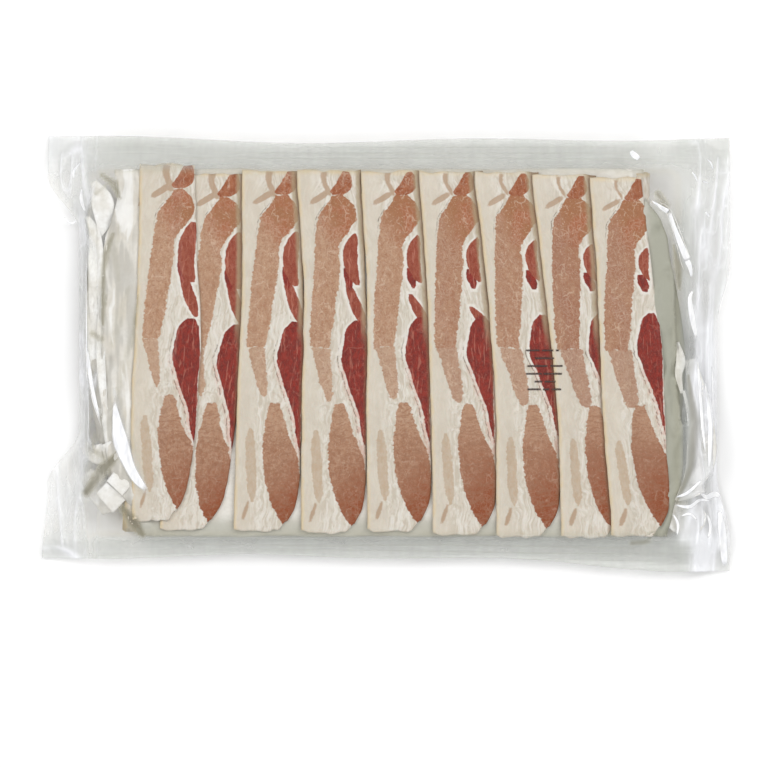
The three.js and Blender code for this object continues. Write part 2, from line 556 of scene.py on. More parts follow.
def slice_fields(depths, across, along, lap, grain_level, index):
    """The values that the meat's material reads, for a slice's top and then its underside."""
    size = across.size
    trace = np.maximum(np.maximum(depths["vein"], depths["branch"]), depths["speck"])
    fields = {
        "grain": (across, along, np.full(across.shape, grain_level)),
        "muscle_a": (depths["band"], depths["tongue"], depths["tip"]),
        "muscle_b": (depths["eye"], depths["bead"], depths["tail"]),
        "muscle_c": (depths["red"], depths["oval"], depths["strip"]),
        "muscle_d": (trace, lap, np.full(across.shape, TONES[index])),
    }
    result = {}
    for name, parts in fields.items():
        result[name] = np.tile(np.stack([part.reshape(size) for part in parts], 1), (2, 1))
    return result


def make_slice(index, material):
    """One slice: a thin wavy slab with its muscles marked on it."""
    column, row, across, along, x, y = slice_grid(index)
    wide = slice_width(index, row)
    lift = lap_height(index, x, y, column, row, wide)
    wave = 0.25 * cloud(x, y, 46.0, 21 + index) + 0.1 * cloud(x, y, 12.0, 31 + index)
    under_z = PAPER_LEVEL + 0.4 + lift + wave
    edge_distance = np.minimum(np.minimum(across, wide - across), np.minimum(row, 1.0 - row) * SLICE_LENGTH)
    rounding = 0.75 * (1.0 - smooth(edge_distance, 0.0, 2.2)) ** 1.5
    depths = {name: muscle_depth(name, index, along, across) for name in MUSCLES}
    lean = np.max([smooth(depth, -0.6, 0.6) for depth in depths.values()], axis=0)
    grainy = 0.07 * cloud(x, y, 2.6, 41 + index) + 0.05 * cloud(x, y, 1.4, 43 + index)
    top_z = under_z + SLICE_THICKNESS - rounding - 0.16 * lean + grainy
    under_z = under_z + 0.5 * rounding
    top = np.stack([x, y, top_z], axis=-1)
    under = np.stack([x, y, under_z], axis=-1)
    thing = slab(f"slice_{index + 1}", top, under, material, strips=3)
    # The distance to the next slice's left edge, where the material paints the shadow of its lap
    lap = np.full(x.shape, NO_LAP)
    if 0 < index < LAST:
        lap = slice_edge(index + 1, y) - x
    for name, values in slice_fields(depths, across, along, lap, 3.5 * index, index).items():
        mark(thing, name, values)
    return thing


class MeatRecipe(Recipe):
    """The slices' material, with the marks and the textures that its steps share."""

    def __init__(self):
        super().__init__("raw_bacon")
        self.grain = self.attribute("grain")
        self.across, self.along = self.parts(self.grain)[:2]
        self.band, self.tongue, self.tip = self.parts(self.attribute("muscle_a"))
        self.eye, self.bead, self.tail = self.parts(self.attribute("muscle_b"))
        self.red, self.oval, self.strip = self.parts(self.attribute("muscle_c"))
        self.trace, self.lap, self.late = self.parts(self.attribute("muscle_d"))
        self.dark_muscle = self.most(self.red, self.eye, self.tail, self.bead)
        self.bent = self.warp(self.grain, 0.22, 6.0)
        self.wander = self.centred(self.noise(self.grain, 0.22, 3.0, 0.6), 3.0)
        teeth = self.centred(self.noise(self.stretch(self.grain, (0.5, 1.0, 1.0)), 0.42, 3.0, 0.7), 4.2)
        self.ragged = self.plus(self.wander, teeth)
        self.fine = self.times(self.ragged, 0.4)
        self.cloudy = self.noise(self.grain, 0.07, 3.0, 0.6)
        self.mottled = self.noise(self.stretch(self.grain, (1.0, 0.6, 1.0)), 0.36, 4.0, 0.72)
        self.speckled = self.noise(self.bent, 0.8, 3.0, 0.7)
        slanted = self.stretch(self.warp(self.grain, 0.04, 16.0), (0.7, 0.05, 1.0), 0.06)
        self.fibres = self.noise(slanted, 0.8, 3.0, 0.6)

    def cut(self, depth, soft=0.3, jitter=None):
        """1 inside a muscle and 0 outside it, with a ragged edge."""
        if jitter is None:
            jitter = self.ragged
        return self.ramp(self.plus(depth, jitter), -soft, soft)

    def most(self, *values):
        """The largest of several values."""
        result = values[0]
        for value in values[1:]:
            result = self.calc("MAXIMUM", result, value)
        return result


def fat_colour(r, looks):
    """The fat, creamy by the rind, whiter and fibrous between the muscles, and the share of its cracks."""
    inner = r.ramp(r.plus(r.across, r.wander), 7.0, 20.0)
    fat = r.blend(inner, looks["fat"], looks["fat_pale"])
    fat = r.blend(r.ramp(r.cloudy, 0.4, 0.62, 0.0, 0.55), fat, looks["fat_shade"])
    dark_fibres = r.times(r.ramp(r.fibres, 0.5, 0.6), r.ramp(inner, 0.0, 1.0, 0.12, 0.6))
    fat = r.blend(dark_fibres, fat, looks["fat_fibre"])
    white_fibres = r.times(r.ramp(r.fibres, 0.47, 0.38), r.ramp(inner, 0.0, 1.0, 0.15, 0.6))
    fat = r.blend(white_fibres, fat, looks["fat_white"])
    rind_edge = r.ramp(r.plus(r.across, r.times(r.wander, 0.6)), 0.3, 3.4, 0.75, 0.0)
    back_edge_tint = r.ramp(r.plus(r.along, r.times(r.wander, 0.8)), 0.5, 4.0, 0.6, 0.0)
    rind_edge = r.times(r.most(rind_edge, back_edge_tint), r.ramp(r.cloudy, 0.34, 0.6, 0.35, 1.1))
    fat = r.blend(rind_edge, fat, looks["rind"])

    # A white seam lies round the dark muscles, and thin cracks follow the large one
    seam = r.times(r.ramp(r.dark_muscle, -2.6, -1.0), r.ramp(r.mottled, 0.36, 0.5, 0.35, 0.9))
    fat = r.blend(seam, fat, looks["fat_white"])
    crack_line = r.calc("ABSOLUTE", r.plus(r.plus(r.red, 2.4), r.wander))
    crack_place = r.times(r.ramp(r.along, 112.0, 124.0), r.ramp(r.along, 178.0, 196.0, 1.0, 0.0))
    crack = r.times(r.ramp(crack_line, 0.15, 0.55, 1.0, 0.0), crack_place)
    top_line = r.calc("ABSOLUTE", r.plus(r.plus(r.band, 1.3), r.times(r.wander, 0.6)))
    top_place = r.times(r.ramp(r.along, 34.0, 48.0, 1.0, 0.0), r.ramp(r.across, 14.0, 24.0, 1.0, 0.0))
    top_crack = r.times(r.ramp(top_line, 0.15, 0.55, 1.0, 0.0), top_place)
    crack = r.times(r.most(crack, top_crack), r.ramp(r.mottled, 0.42, 0.56))
    pink_place = r.times(r.ramp(r.red, -5.0, -1.6), r.ramp(r.along, 128.0, 142.0))
    pink_share = r.times(pink_place, r.ramp(r.mottled, 0.4, 0.56, 0.0, 0.65))
    fat = r.blend(pink_share, fat, looks["pink_fat"])
    return fat, crack


def lean_colours(r, looks):
    """The colour of each muscle's lean, before its marbling."""
    patchy = r.ramp(r.mottled, 0.36, 0.64)
    tan = r.blend(patchy, looks["tan"], looks["tan_pale"])
    tan = r.blend(r.times(r.late, r.ramp(r.cloudy, 0.3, 0.6, 0.3, 0.8)), tan, looks["pink_lean"])
    upper_lean = r.blend(r.ramp(r.cloudy, 0.4, 0.6), looks["upper"], looks["upper_orange"])
    right_side = r.times(r.calc("SUBTRACT", 26.0, r.across), 1.8)
    upper = r.ramp(r.plus(r.along, r.plus(right_side, r.times(r.wander, 5.0))), 28.0, 72.0)
    band_colour = r.blend(upper, upper_lean, tan)
    red_colour = r.blend(patchy, looks["red_dark"], looks["red"])
    eye_colour = r.blend(patchy, looks["eye"], looks["eye_pale"])
    low_place = r.plus(r.along, r.times(r.across, 0.9))
    low_place = r.plus(low_place, r.times(r.wander, 5.0))
    low = r.ramp(r.plus(low_place, r.times(r.late, 14.0)), 222.0, 278.0)
    oval_colour = r.blend(patchy, looks["oval"], looks["oval_pale"])
    oval_colour = r.blend(r.times(r.late, 0.7), oval_colour, looks["pink_lean"])
    oval_colour = r.blend(r.ramp(r.along, 166.0, 200.0, 0.6, 0.0), oval_colour, looks["tan_pale"])
    oval_colour = r.blend(low, oval_colour, looks["oval_low"])
    tip_colour = r.blend(patchy, looks["tip"], looks["upper_orange"])
    strip_colour = r.blend(r.times(patchy, 0.35), looks["strip"], looks["fat_shade"])
    return {
        "band": band_colour,
        "tongue": r.blend(0.12, tan, looks["strip"]),
        "tip": tip_colour,
        "eye": eye_colour,
        "tail": r.blend(0.8, red_colour, eye_colour),
        "red": red_colour,
        "oval": oval_colour,
        "strip": strip_colour,
    }


def marbling_marks(r):
    """Marbling: flecks, dark pits, a broken net, arcs, and long streaks in the red muscles."""
    flecks = r.ramp(r.speckled, 0.56, 0.66)
    pits = r.ramp(r.speckled, 0.45, 0.34, 0.0, 0.6)
    wide_net = r.ramp(r.cells(r.stretch(r.bent, (1.0, 0.6, 1.0)), 0.1), 0.0, 0.05, 1.0, 0.0)
    wide_net = r.times(wide_net, r.ramp(r.noise(r.grain, 0.11, 2.0), 0.5, 0.58))
    small_net = r.ramp(r.cells(r.stretch(r.bent, (1.0, 0.75, 1.0)), 0.32), 0.0, 0.16, 1.0, 0.0)
    small_net = r.times(small_net, r.ramp(r.cloudy, 0.42, 0.58))
    marbling = r.most(r.times(wide_net, 0.55), r.times(flecks, 0.5))
    marbling = r.most(marbling, r.times(small_net, 0.26))
    arcs = r.noise(r.stretch(r.warp(r.grain, 0.05, 14.0), (0.22, 1.0, 1.0), -0.5), 0.62, 3.0, 0.6)
    streak_field = r.noise(r.stretch(r.warp(r.grain, 0.08, 4.0), (1.0, 0.08, 1.0), -0.42), 0.62, 2.0, 0.55)
    streaks = r.most(r.ramp(streak_field, 0.6, 0.64), r.times(wide_net, 0.6))
    return flecks, pits, marbling, arcs, streaks


def meat_material(looks):
    """Raw cured pork: cream fat, tan to dark red muscles with fine marbling, a moist surface, and painted
    shadow beside each slice's lap.
    """
    r = MeatRecipe()
    fat, crack = fat_colour(r, looks)
    lean = lean_colours(r, looks)
    flecks, pits, marbling, arcs, streaks = marbling_marks(r)
    colour = r.blend(r.times(r.cut(r.trace, 0.6, r.fine), 0.85), fat, looks["trace"])
    strip_share = r.cut(r.strip, 0.4, r.times(r.ragged, 0.7))
    colour = r.blend(r.times(strip_share, 0.84), colour, lean["strip"])
    colour = r.blend(r.times(r.cut(r.tongue), 0.88), colour, lean["tongue"])
    colour = r.blend(r.cut(r.band), colour, lean["band"])
    colour = r.blend(r.cut(r.tip, 0.3, r.fine), colour, lean["tip"])
    colour = r.blend(r.cut(r.oval), colour, lean["oval"])
    pale_lean = r.most(r.cut(r.band, 0.9), r.cut(r.tongue, 0.9), r.cut(r.tip, 0.9), r.cut(r.oval, 0.9))
    marbling = r.times(marbling, r.ramp(r.oval, -0.5, 0.5, 1.0, 0.55))
    colour = r.blend(r.times(marbling, pale_lean), colour, looks["marbling"])
    colour = r.blend(r.times(pits, pale_lean), colour, looks["lean_shade"])
    arc_share = r.times(r.ramp(arcs, 0.5, 0.58, 0.0, 0.5), r.cut(r.oval, 0.9))
    colour = r.blend(arc_share, colour, looks["lean_shade"])
    colour = r.blend(r.cut(r.tail, 0.3, r.fine), colour, lean["tail"])
    colour = r.blend(r.cut(r.bead, 0.3, r.fine), colour, lean["red"])
    colour = r.blend(r.cut(r.eye, 0.3, r.fine), colour, lean["eye"])
    colour = r.blend(r.cut(r.red, 0.3, r.fine), colour, lean["red"])
    dark_lean = r.cut(r.dark_muscle, 0.7, r.fine)
    colour = r.blend(r.times(r.times(streaks, dark_lean), 0.34), colour, looks["streak"])
    colour = r.blend(r.times(r.times(flecks, dark_lean), 0.12), colour, looks["streak"])
    colour = r.blend(r.times(crack, 0.7), colour, looks["crack"])
    # Painted shade where the next slice laps over this one: a wide olive shadow towards the back end, then a
    # brown contact shadow right along the lap's edge
    lap_line = r.plus(r.lap, r.times(r.wander, 0.5))
    back_part = r.ramp(r.along, 100.0, 125.0, 1.0, 0.0)
    lap_shadow_share = r.times(r.ramp(lap_line, 2.6, 5.4, 0.72, 0.0), back_part)
    colour = r.blend(lap_shadow_share, colour, looks["lap_shade"])
    colour = r.blend(r.ramp(lap_line, 0.3, 3.0, 0.62, 0.0), colour, looks["edge_shade"])

    height = r.plus(r.times(r.fibres, 0.7), r.times(r.speckled, 0.8))
    surface = r.principled(
        {
            "Base Color": colour,
            "Roughness": r.ramp(r.mottled, 0.3, 0.7, 0.36, 0.5),
            "Normal": r.relief(height, 0.5, 0.0008),
            "Specular IOR Level": 0.3,
            "Coat Weight": 0.2,
            "Coat Roughness": 0.22,
            "Subsurface Weight": 0.06,
            "Subsurface Radius": (0.9, 0.35, 0.2),
            "Subsurface Scale": 0.001,
        }
    )
    return r.finish(surface)


# ---------------------------------------------------------------------------------------------------------
# The bag's outline and the stack's

# The fins are how high the film meets itself along the sides, at the ends and at the flared corners.
BAG_LENGTH = 486.0
BAG_WIDTH = 306.0
STACK_LEFT = -197.0
STACK_RIGHT = 212.0
STACK_FRONT = -130.0
STACK_BACK = 132.0
SIDE_FIN = 9.0
END_FIN = 7.0
EAR_FIN = 3.0
EAR_SPREAD = 5.0
SIDE_WAVE = 1.6

# How far the film lies over the contents, and how deep its shaded hollows are.
FILM_GAP = 0.35
HOLLOW_DEPTH = 0.8


def waist(y, start, end, slope):
    """A flat-bottomed dip that is 1 between two limits."""
    half = slope / 2.0
    return smooth(y, start - half, start + half) * (1.0 - smooth(y, end - half, end + half))


def left_edge(y):
    """The X of the bag's left edge, which is drawn in along its middle and flares at the front corner."""
    ear = EAR_SPREAD * smooth(-y, 0.3 * BAG_WIDTH, 0.5 * BAG_WIDTH)
    return -(BAG_LENGTH / 2 - EAR_SPREAD) - ear + 22.0 * waist(y, -72.0, 106.0, 38.0)


def right_edge(y):
    """The X of the bag's right edge, drawn in a little along its front half."""
    return BAG_LENGTH / 2 - 9.0 * waist(y, -108.0, 42.0, 44.0)


def back_edge(x):
    """The Y of the bag's back edge, which waves a little."""
    share = x / BAG_LENGTH
    return BAG_WIDTH / 2 - 2 * SIDE_WAVE * np.cos(np.pi * share) + SIDE_WAVE * np.sin(4 * np.pi * share)


def front_edge(x):
    """The Y of the bag's front edge, which drops towards the right corner."""
    share = x / BAG_LENGTH
    drop = 2 * EAR_SPREAD * smooth(share, 0.0, 0.5)
    return -(BAG_WIDTH / 2 - 2 * EAR_SPREAD) - drop - SIDE_WAVE * np.cos(5 * np.pi * share)


def streak(x, y, path, half_widths, soft=1.0):
    """1 along the middle of a tapering streak through a few points, falling to 0 at its sides."""
    best = np.zeros_like(x)
    for (start, end), (near, far) in zip(zip(path, path[1:]), zip(half_widths, half_widths[1:])):
        run = np.array(end) - np.array(start)
        share = ((x - start[0]) * run[0] + (y - start[1]) * run[1]) / (run @ run)
        share = np.clip(share, 0.0, 1.0)
        distance = np.hypot(x - start[0] - share * run[0], y - start[1] - share * run[1])
        half = near + (far - near) * share + 0.05
        best = np.maximum(best, np.clip(1.0 - (distance / half) ** 2, 0.0, 1.0) ** soft)
    return best


# ---------------------------------------------------------------------------------------------------------
# Paper

PAPER_THICKNESS = 0.2
LOWEST_FOLD = -0.2
LOWER_LAYERS = 8
LAYER_PITCH = PAPER_LEVEL / LOWER_LAYERS

# The slices of the lower layers: how far apart they lie and how wide their muscles are drawn, where the first
# one starts, and where they end.
LOWER_PITCH = 41.0
LOWER_WIDTH = 45.0
LOWER_START = -184.0
LOWER_BACK = 126.0
LOWER_FRONT = -123.0
LOWER_GRID = (9, 36)

# Points across a folded strip.
RIBBON_COLUMNS = 13


def paper_sheet(name, material, left, right, front, back, level, droop, crumple, seed, columns, rows):
    """A closed thin sheet between four edge curves, which droops and crumples towards its edges."""
    share_x, share_y = np.meshgrid(np.linspace(0, 1, columns), np.linspace(0, 1, rows), indexing="ij")
    y = front + (back - front) * share_y
    x = left(y) + (right(y) - left(y)) * share_x
    ragged = 0.8 * cloud(x, y * 0.0, 26.0, seed) + 0.3 * cloud(x, y * 0.0, 6.0, seed + 1)
    y = y + ragged * (2.0 * share_y - 1.0)
    from_side = np.minimum(y - front, back - y)
    from_end = np.minimum(x - left(y), right(y) - x)
    loose = 1.0 - smooth(from_end, 0.0, 32.0)
    folds = creases(x, 0.2 * y, 7.0, seed + 2) + 0.5 * creases(x, 0.35 * y, 3.6, seed + 4)
    slant = creases(0.85 * x - 0.3 * y, 0.3 * y + 0.1 * x, 13.0, seed + 8, 1.6)
    z = level + crumple * loose * np.maximum(folds + 1.6 * slant - 0.8, LOWEST_FOLD)
    z = z - droop * (1.0 - smooth(from_side, -1.0, 7.0)) - droop * (1.0 - smooth(from_end, -1.0, 8.0))
    z = z + 0.12 * cloud(x, y, 21.0, seed + 6)
    top = np.stack([x, y, z], axis=-1)
    thing = slab(name, top, top - [0, 0, PAPER_THICKNESS], material)
    mark_flat(thing, x, y, level)
    return thing


def mark_flat(thing, x, y, level):
    """Marks a sheet's points with their place, so that its material doesn't depend on its folds."""
    flat = np.stack([x.ravel(), y.ravel(), np.full(x.size, 3.0 * level)], 1)
    mark(thing, "grain", np.tile(flat, (2, 1)))


def ribbon_grid(steps):
    """A strip's grid: a share of the way along it, and from -1 to 1 across it."""
    return np.meshgrid(np.linspace(0, 1, steps), np.linspace(-1, 1, RIBBON_COLUMNS), indexing="ij")


def ribbon_points(path, widths, heights, tilt, roll, fold, seed, steps, surface=None):
    """A grid of points for a strip through a few points, tilted and rolled across its width."""
    knots = np.linspace(0.0, 1.0, len(path))
    path_x, path_y = zip(*path)
    share, across = ribbon_grid(steps)
    line_x = through(knots, path_x, share)
    line_y = through(knots, path_y, share)
    step = 0.01
    run_x = through(knots, path_x, share + step) - line_x
    run_y = through(knots, path_y, share + step) - line_y
    last = share > 1.0 - 1.5 * step
    back_x = line_x - through(knots, path_x, share - step)
    back_y = line_y - through(knots, path_y, share - step)
    run_x = np.where(last, back_x, run_x)
    run_y = np.where(last, back_y, run_y)
    length = np.hypot(run_x, run_y) + 1e-9
    half = 0.5 * through(knots, widths, share)
    x = line_x - run_y / length * half * across
    y = line_y + run_x / length * half * across
    z = through(knots, heights, share) + half * (tilt * across + roll * across * across)
    z = z + fold * creases(x, 0.3 * y, 5.0, seed) * (1.0 - np.abs(across) ** 4)
    if surface is not None:
        z = z + surface(x, y)
    return np.stack([x, y, z], axis=-1)


def ribbons(name, strips, material, surface=None):
    """Several thin strips as one piece, at their own heights or at heights above a surface."""
    points = []
    faces = []
    flats = []
    fades = []
    count = 0
    for number, (path, widths, heights, tilt, roll, fold) in enumerate(strips):
        length = sum(math.dist(start, end) for start, end in zip(path, path[1:]))
        steps = max(8, int(length / 1.2))
        seed = 300 + 7 * number
        top = ribbon_points(path, widths, heights, tilt, roll, fold, seed, steps, surface)
        size = steps * RIBBON_COLUMNS
        faces.append(count + slab_faces(steps, RIBBON_COLUMNS)[:, ::-1])
        points.append(top.reshape(-1, 3))
        points.append((top - [0, 0, PAPER_THICKNESS]).reshape(-1, 3))
        flats.append(np.tile(top.reshape(-1, 3), (2, 1)))
        fades.append(np.tile(ribbon_fade(steps), 2))
        count += 2 * size
    thing = new_object(name, np.concatenate(points), np.concatenate(faces), material)
    plane_layout(thing, np.concatenate(points))
    mark(thing, "grain", np.concatenate(flats))
    fade = np.concatenate(fades)
    mark(thing, "fade", np.stack([fade, fade, fade], 1))
    return thing


def ribbon_fade(steps):
    """How solid a fold looks at each of its points: less towards its ends and its long edges."""
    share, across = ribbon_grid(steps)
    ends = smooth(share, 0.0, 0.18) * (1.0 - smooth(share, 0.82, 1.0))
    return (ends * (1.0 - smooth(np.abs(across), 0.5, 1.0))).ravel()


def plane_layout(thing, points):
    """A flat layout from above, for pieces that have no fine pattern of their own."""
    low = points.min(axis=0)
    span = (points.max(axis=0) - low).max() + 1e-6
    layer = thing.data.uv_layers.new(name="OFBake")
    corner = np.zeros(len(thing.data.loops), np.int32)
    thing.data.loops.foreach_get("vertex_index", corner)
    flat = in_band(BAKE_WIDE, (points[corner, :2] - low[:2]) / span)
    layer.data.foreach_set("uv", flat.astype(np.float32).ravel())


def top_paper_left(y):
    """The left edge of the sheet under the top slices."""
    places = (-126.0, -112.0, -98.0, -80.0, -60.0, -20.0, 20.0, 60.0, 80.0, 97.0, 113.0, 126.0)
    edge = (-172.0, -176.0, -186.0, -193.0, -197.0, -198.5, -199.0, -198.0, -196.5, -191.5, -187.5, -190.0)
    return through(places, edge, y) + 0.5 * cloud(y, y * 0.0, 9.0, 71)


def top_paper_right(y):
    """The right edge of the sheet under the top slices."""
    places = (-126.0, -104.0, -86.0, -63.0, -26.0, 0.0, 30.0, 60.0, 95.0, 108.0, 126.0)
    edge = (198.0, 203.5, 208.0, 209.0, 205.0, 204.5, 203.0, 201.0, 192.0, 183.0, 181.0)
    return through(places, edge, y) + 0.4 * cloud(y, y * 0.0, 9.0, 72)


def lower_paper_left(y):
    """The left edge of the sheets under that one, which are crushed in at the corners."""
    edge = (-172.0, -181.0, -189.0, -190.0, -185.0, -176.0)
    return through((-128.0, -112.0, -96.0, 96.0, 112.0, 128.0), edge, y)


def lower_paper_right(y):
    """The right edge of the sheets under that one."""
    return through((-128.0, -112.0, -96.0, 80.0, 104.0, 128.0), (184.0, 192.0, 197.0, 194.0, 184.0, 174.0), y)


# Loose and folded parts of the sheets at the pack's ends, and the folded tag: a line of points, then widths,
# heights, how far the strip tilts and rolls up across its width, and the height of its folds.
LEFT_STRIPS = (
    (((-205, 121), (-199, 108), (-197.5, 95), (-200.5, 81)),
     (4, 15, 13, 1.5), (22, 23.5, 23, 22), -0.22, 0.1, 0.3),
    (((-209, 96), (-204, 84), (-203, 66), (-203.5, 44), (-204, 18)),
     (3, 8, 11, 10, 7), (21, 22, 23, 22, 21), 0.1, 0.2, 2.0),
    (((-207, 60), (-206, 30), (-205, 0), (-202, -30), (-198, -52)),
     (5, 9, 11, 9, 3), (20, 21, 22, 22, 22), 0.15, 0.3, 1.8),
    (((-199, 40), (-200, 14), (-199, -14), (-196, -44)), (2, 5, 6, 3), (24, 24.5, 24.5, 24), 0.1, 0.4, 1.2),
    (((-212, -64), (-205, -70), (-196, -70), (-190, -64)), (6, 13, 15, 8), (15, 19, 22, 24), 0.25, 0.1, 2.4),
    (((-211, -84), (-204, -92), (-198, -100), (-194, -112)),
     (10, 18, 18, 10), (12, 15, 16, 14), 0.1, 0.1, 2.4),
)
TAG_STRIPS = (
    (((-192.4, -85.5), (-180.5, -95)), (9.7, 12.3), (26.0, 26.6), -0.22, 0.0, 0.0),
    (((-199.4, -94.2), (-186.4, -107)), (11.2, 14), (24.4, 25.2), 0.18, 0.0, 0.0),
    (((-181.5, -112), (-175, -121), (-168.5, -129.5)), (2.0, 2.6, 1.2), (24, 23, 21), 0.5, 0.2, 0.0),
)
RIGHT_STRIPS = (
    (((186, 107), (198, 100), (207, 76), (211, 63), (214, 53)),
     (2, 4, 6, 7, 3), (25, 26, 26, 25, 24), 0.3, 0.5, 0.0),
    (((205, 8), (207, -5), (205.5, -15), (208, -28)), (2, 6.5, 5, 2), (24, 26, 26, 25), 0.2, 0.3, 1.6),
    (((209, -26), (213, -44), (213.7, -63), (211, -86), (203.5, -103)),
     (2, 3, 4, 3, 1.5), (26, 26, 26, 26, 25), -0.5, 0.3, 0.2),
    (((214, -4), (221, -40), (224, -74), (212, -100)), (8, 15, 16, 6), (21, 21, 20, 22), -0.2, 0.15, 2.2),
    (((196, -108), (204, -112), (214, -114), (222, -108)), (8, 24, 26, 12), (23, 21, 18, 16), -0.1, 0.1, 3.2),
    (((205, -103), (214, -97), (221, -92)), (1.5, 9, 12), (24.5, 23, 20), -0.3, 0.2, 1.2),
)


def paper_material(looks, name="greaseproof_paper", tone="paper", spots="paper_greasy"):
    """Grease-proof paper: off-white and mottled by fat; on the top sheet, painted shade beside the last slice
    and between the slices' front ends, and painted shade and light on its soft folds at the left end.
    """
    r = Recipe(name)
    grain = r.attribute("grain")
    blots = r.noise(grain, 0.05, 3.0, 0.6)
    mottled = r.noise(grain, 0.35, 4.0, 0.65)
    colour = r.blend(r.ramp(blots, 0.35, 0.65), looks[tone], looks[spots])
    colour = r.blend(r.ramp(mottled, 0.35, 0.75, 0.0, 0.4), colour, looks["paper_shade"])
    if tone == "paper":
        place_x, place_y = r.parts(grain)[:2]
        # Painted shade: the top sheet darkens towards the last slice and between the slices' front ends
        colour = r.blend(r.ramp(place_x, 172.0, 190.0), colour, looks["paper_shadow"])
        colour = r.blend(r.ramp(place_y, -110.0, -122.0, 0.0, 0.65), colour, looks["paper_shadow"])
        # Painted shade in the soft folds at the sheet's left end, and painted light on their ridges
        soft_folds = r.noise(r.stretch(r.warp(grain, 0.03, 8.0), (1.0, 0.14, 1.0), 0.25), 0.14, 2.0, 0.5)
        left_part = r.ramp(place_x, -168.0, -180.0, 0.0, 1.0)
        shaded = r.times(left_part, r.ramp(soft_folds, 0.48, 0.6, 0.1, 0.66))
        colour = r.blend(shaded, colour, looks["paper_fold"])
        lit = r.times(left_part, r.ramp(soft_folds, 0.46, 0.38, 0.0, 0.6))
        colour = r.blend(lit, colour, looks["paper_clean"])
    surface = r.principled(
        {
            "Base Color": colour,
            "Roughness": r.ramp(mottled, 0.3, 0.7, 0.45, 0.62),
            "Normal": r.relief(mottled, 0.25, 0.0004),
        }
    )
    return r.finish(surface)


def lower_slices(material):
    """The slices of the layers under the top one, which show at the pack's sides."""
    points = []
    faces = []
    fields = []
    count = 0
    columns, rows = LOWER_GRID
    share_x, share_y = np.meshgrid(np.linspace(0, 1, columns), np.linspace(0, 1, rows), indexing="ij")
    along = share_y * SLICE_LENGTH
    across = share_x * LOWER_WIDTH
    no_lap = np.full(across.shape, NO_LAP)
    thick = LAYER_PITCH - PAPER_THICKNESS - 0.12
    for layer in range(LOWER_LAYERS):
        level = layer * LAYER_PITCH + 0.3
        for index in range(len(SLICES)):
            seed = 13 * layer + index
            start = LOWER_START + LOWER_PITCH * index + 1.4 * chance(seed, 3, 5)
            back = LOWER_BACK + 2.5 * chance(seed, 4, 5)
            front = LOWER_FRONT + 2.5 * chance(seed, 6, 5)
            y = back + (front - back) * share_y
            x = start + share_x * (LOWER_PITCH - 0.6) + 0.8 * cloud(y, y * 0.0, 21.0, seed + 90)
            edge = np.minimum(share_x, 1 - share_x) * LOWER_PITCH
            edge = np.minimum(edge, np.minimum(share_y, 1 - share_y) * SLICE_LENGTH)
            rounding = 1.1 * (1.0 - smooth(edge, 0.0, 3.0))
            top = np.stack([x, y, level + thick - rounding], axis=-1)
            under = np.stack([x, y, level + 0.6 * rounding], axis=-1)
            size = columns * rows
            faces.append(count + slab_faces(columns, rows))
            points.extend([top.reshape(-1, 3), under.reshape(-1, 3)])
            depths = {name: muscle_depth(name, index, along, across) for name in MUSCLES}
            fields.append(slice_fields(depths, across, along, no_lap, 3.5 * seed, index))
            count += 2 * size
    thing = new_object("lower_slices", np.concatenate(points), np.concatenate(faces), material)
    plane_layout(thing, np.concatenate(points))
    for name in fields[0]:
        mark(thing, name, np.concatenate([part[name] for part in fields]))
    return thing


# ---------------------------------------------------------------------------------------------------------
# The bag

CELL = 1.0
MAP_X = np.arange(-255.0, 256.0, CELL)
MAP_Y = np.arange(-165.0, 166.0, CELL)


def contents_map(things):
    """The height of the contents on a 1 mm map, grown and smoothed as a drawn film lies on them."""
    heights = np.zeros((len(MAP_X), len(MAP_Y)))
    for thing in things:
        points = np.zeros(len(thing.data.vertices) * 3, np.float32)
        thing.data.vertices.foreach_get("co", points)
        points = points.reshape(-1, 3) / MM
        column = np.clip(np.round((points[:, 0] - MAP_X[0]) / CELL).astype(int), 0, len(MAP_X) - 1)
        row = np.clip(np.round((points[:, 1] - MAP_Y[0]) / CELL).astype(int), 0, len(MAP_Y) - 1)
        np.maximum.at(heights, (column, row), points[:, 2])
    grown = heights.copy()
    for _ in range(2):
        wide = grown.copy()
        for step_x, step_y in ((1, 0), (-1, 0), (0, 1), (0, -1)):
            wide = np.maximum(wide, np.roll(np.roll(grown, step_x, 0), step_y, 1))
        grown = wide
    for _ in range(2):
        for axis in (0, 1):
            grown = (np.roll(grown, 1, axis) + grown + np.roll(grown, -1, axis)) / 3.0
    return grown


def sample_map(heights, x, y):
    """The map's height between its cells."""
    column = np.clip((x - MAP_X[0]) / CELL, 0, len(MAP_X) - 1.001)
    row = np.clip((y - MAP_Y[0]) / CELL, 0, len(MAP_Y) - 1.001)
    first = column.astype(int)
    second = row.astype(int)
    right = column - first
    up = row - second
    low = heights[first, second] * (1 - right) + heights[first + 1, second] * right
    high = heights[first, second + 1] * (1 - right) + heights[first + 1, second + 1] * right
    return low * (1 - up) + high * up


def film_height(bag):
    """A function that gives the height of the upper film at any place."""
    points = [tuple(vertex.co) for vertex in bag.data.vertices]
    faces = [tuple(face.vertices) for face in bag.data.polygons if len(face.vertices) == 4]
    tree = BVHTree.FromPolygons(points, faces)

    def one(x, y):
        hit = tree.ray_cast((x * MM, y * MM, 1.0), (0.0, 0.0, -1.0))[0]
        if hit is None:
            hit = tree.find_nearest((x * MM, y * MM, END_FIN * MM))[0]
        return hit[2] / MM

    return np.vectorize(one, otypes=[float])
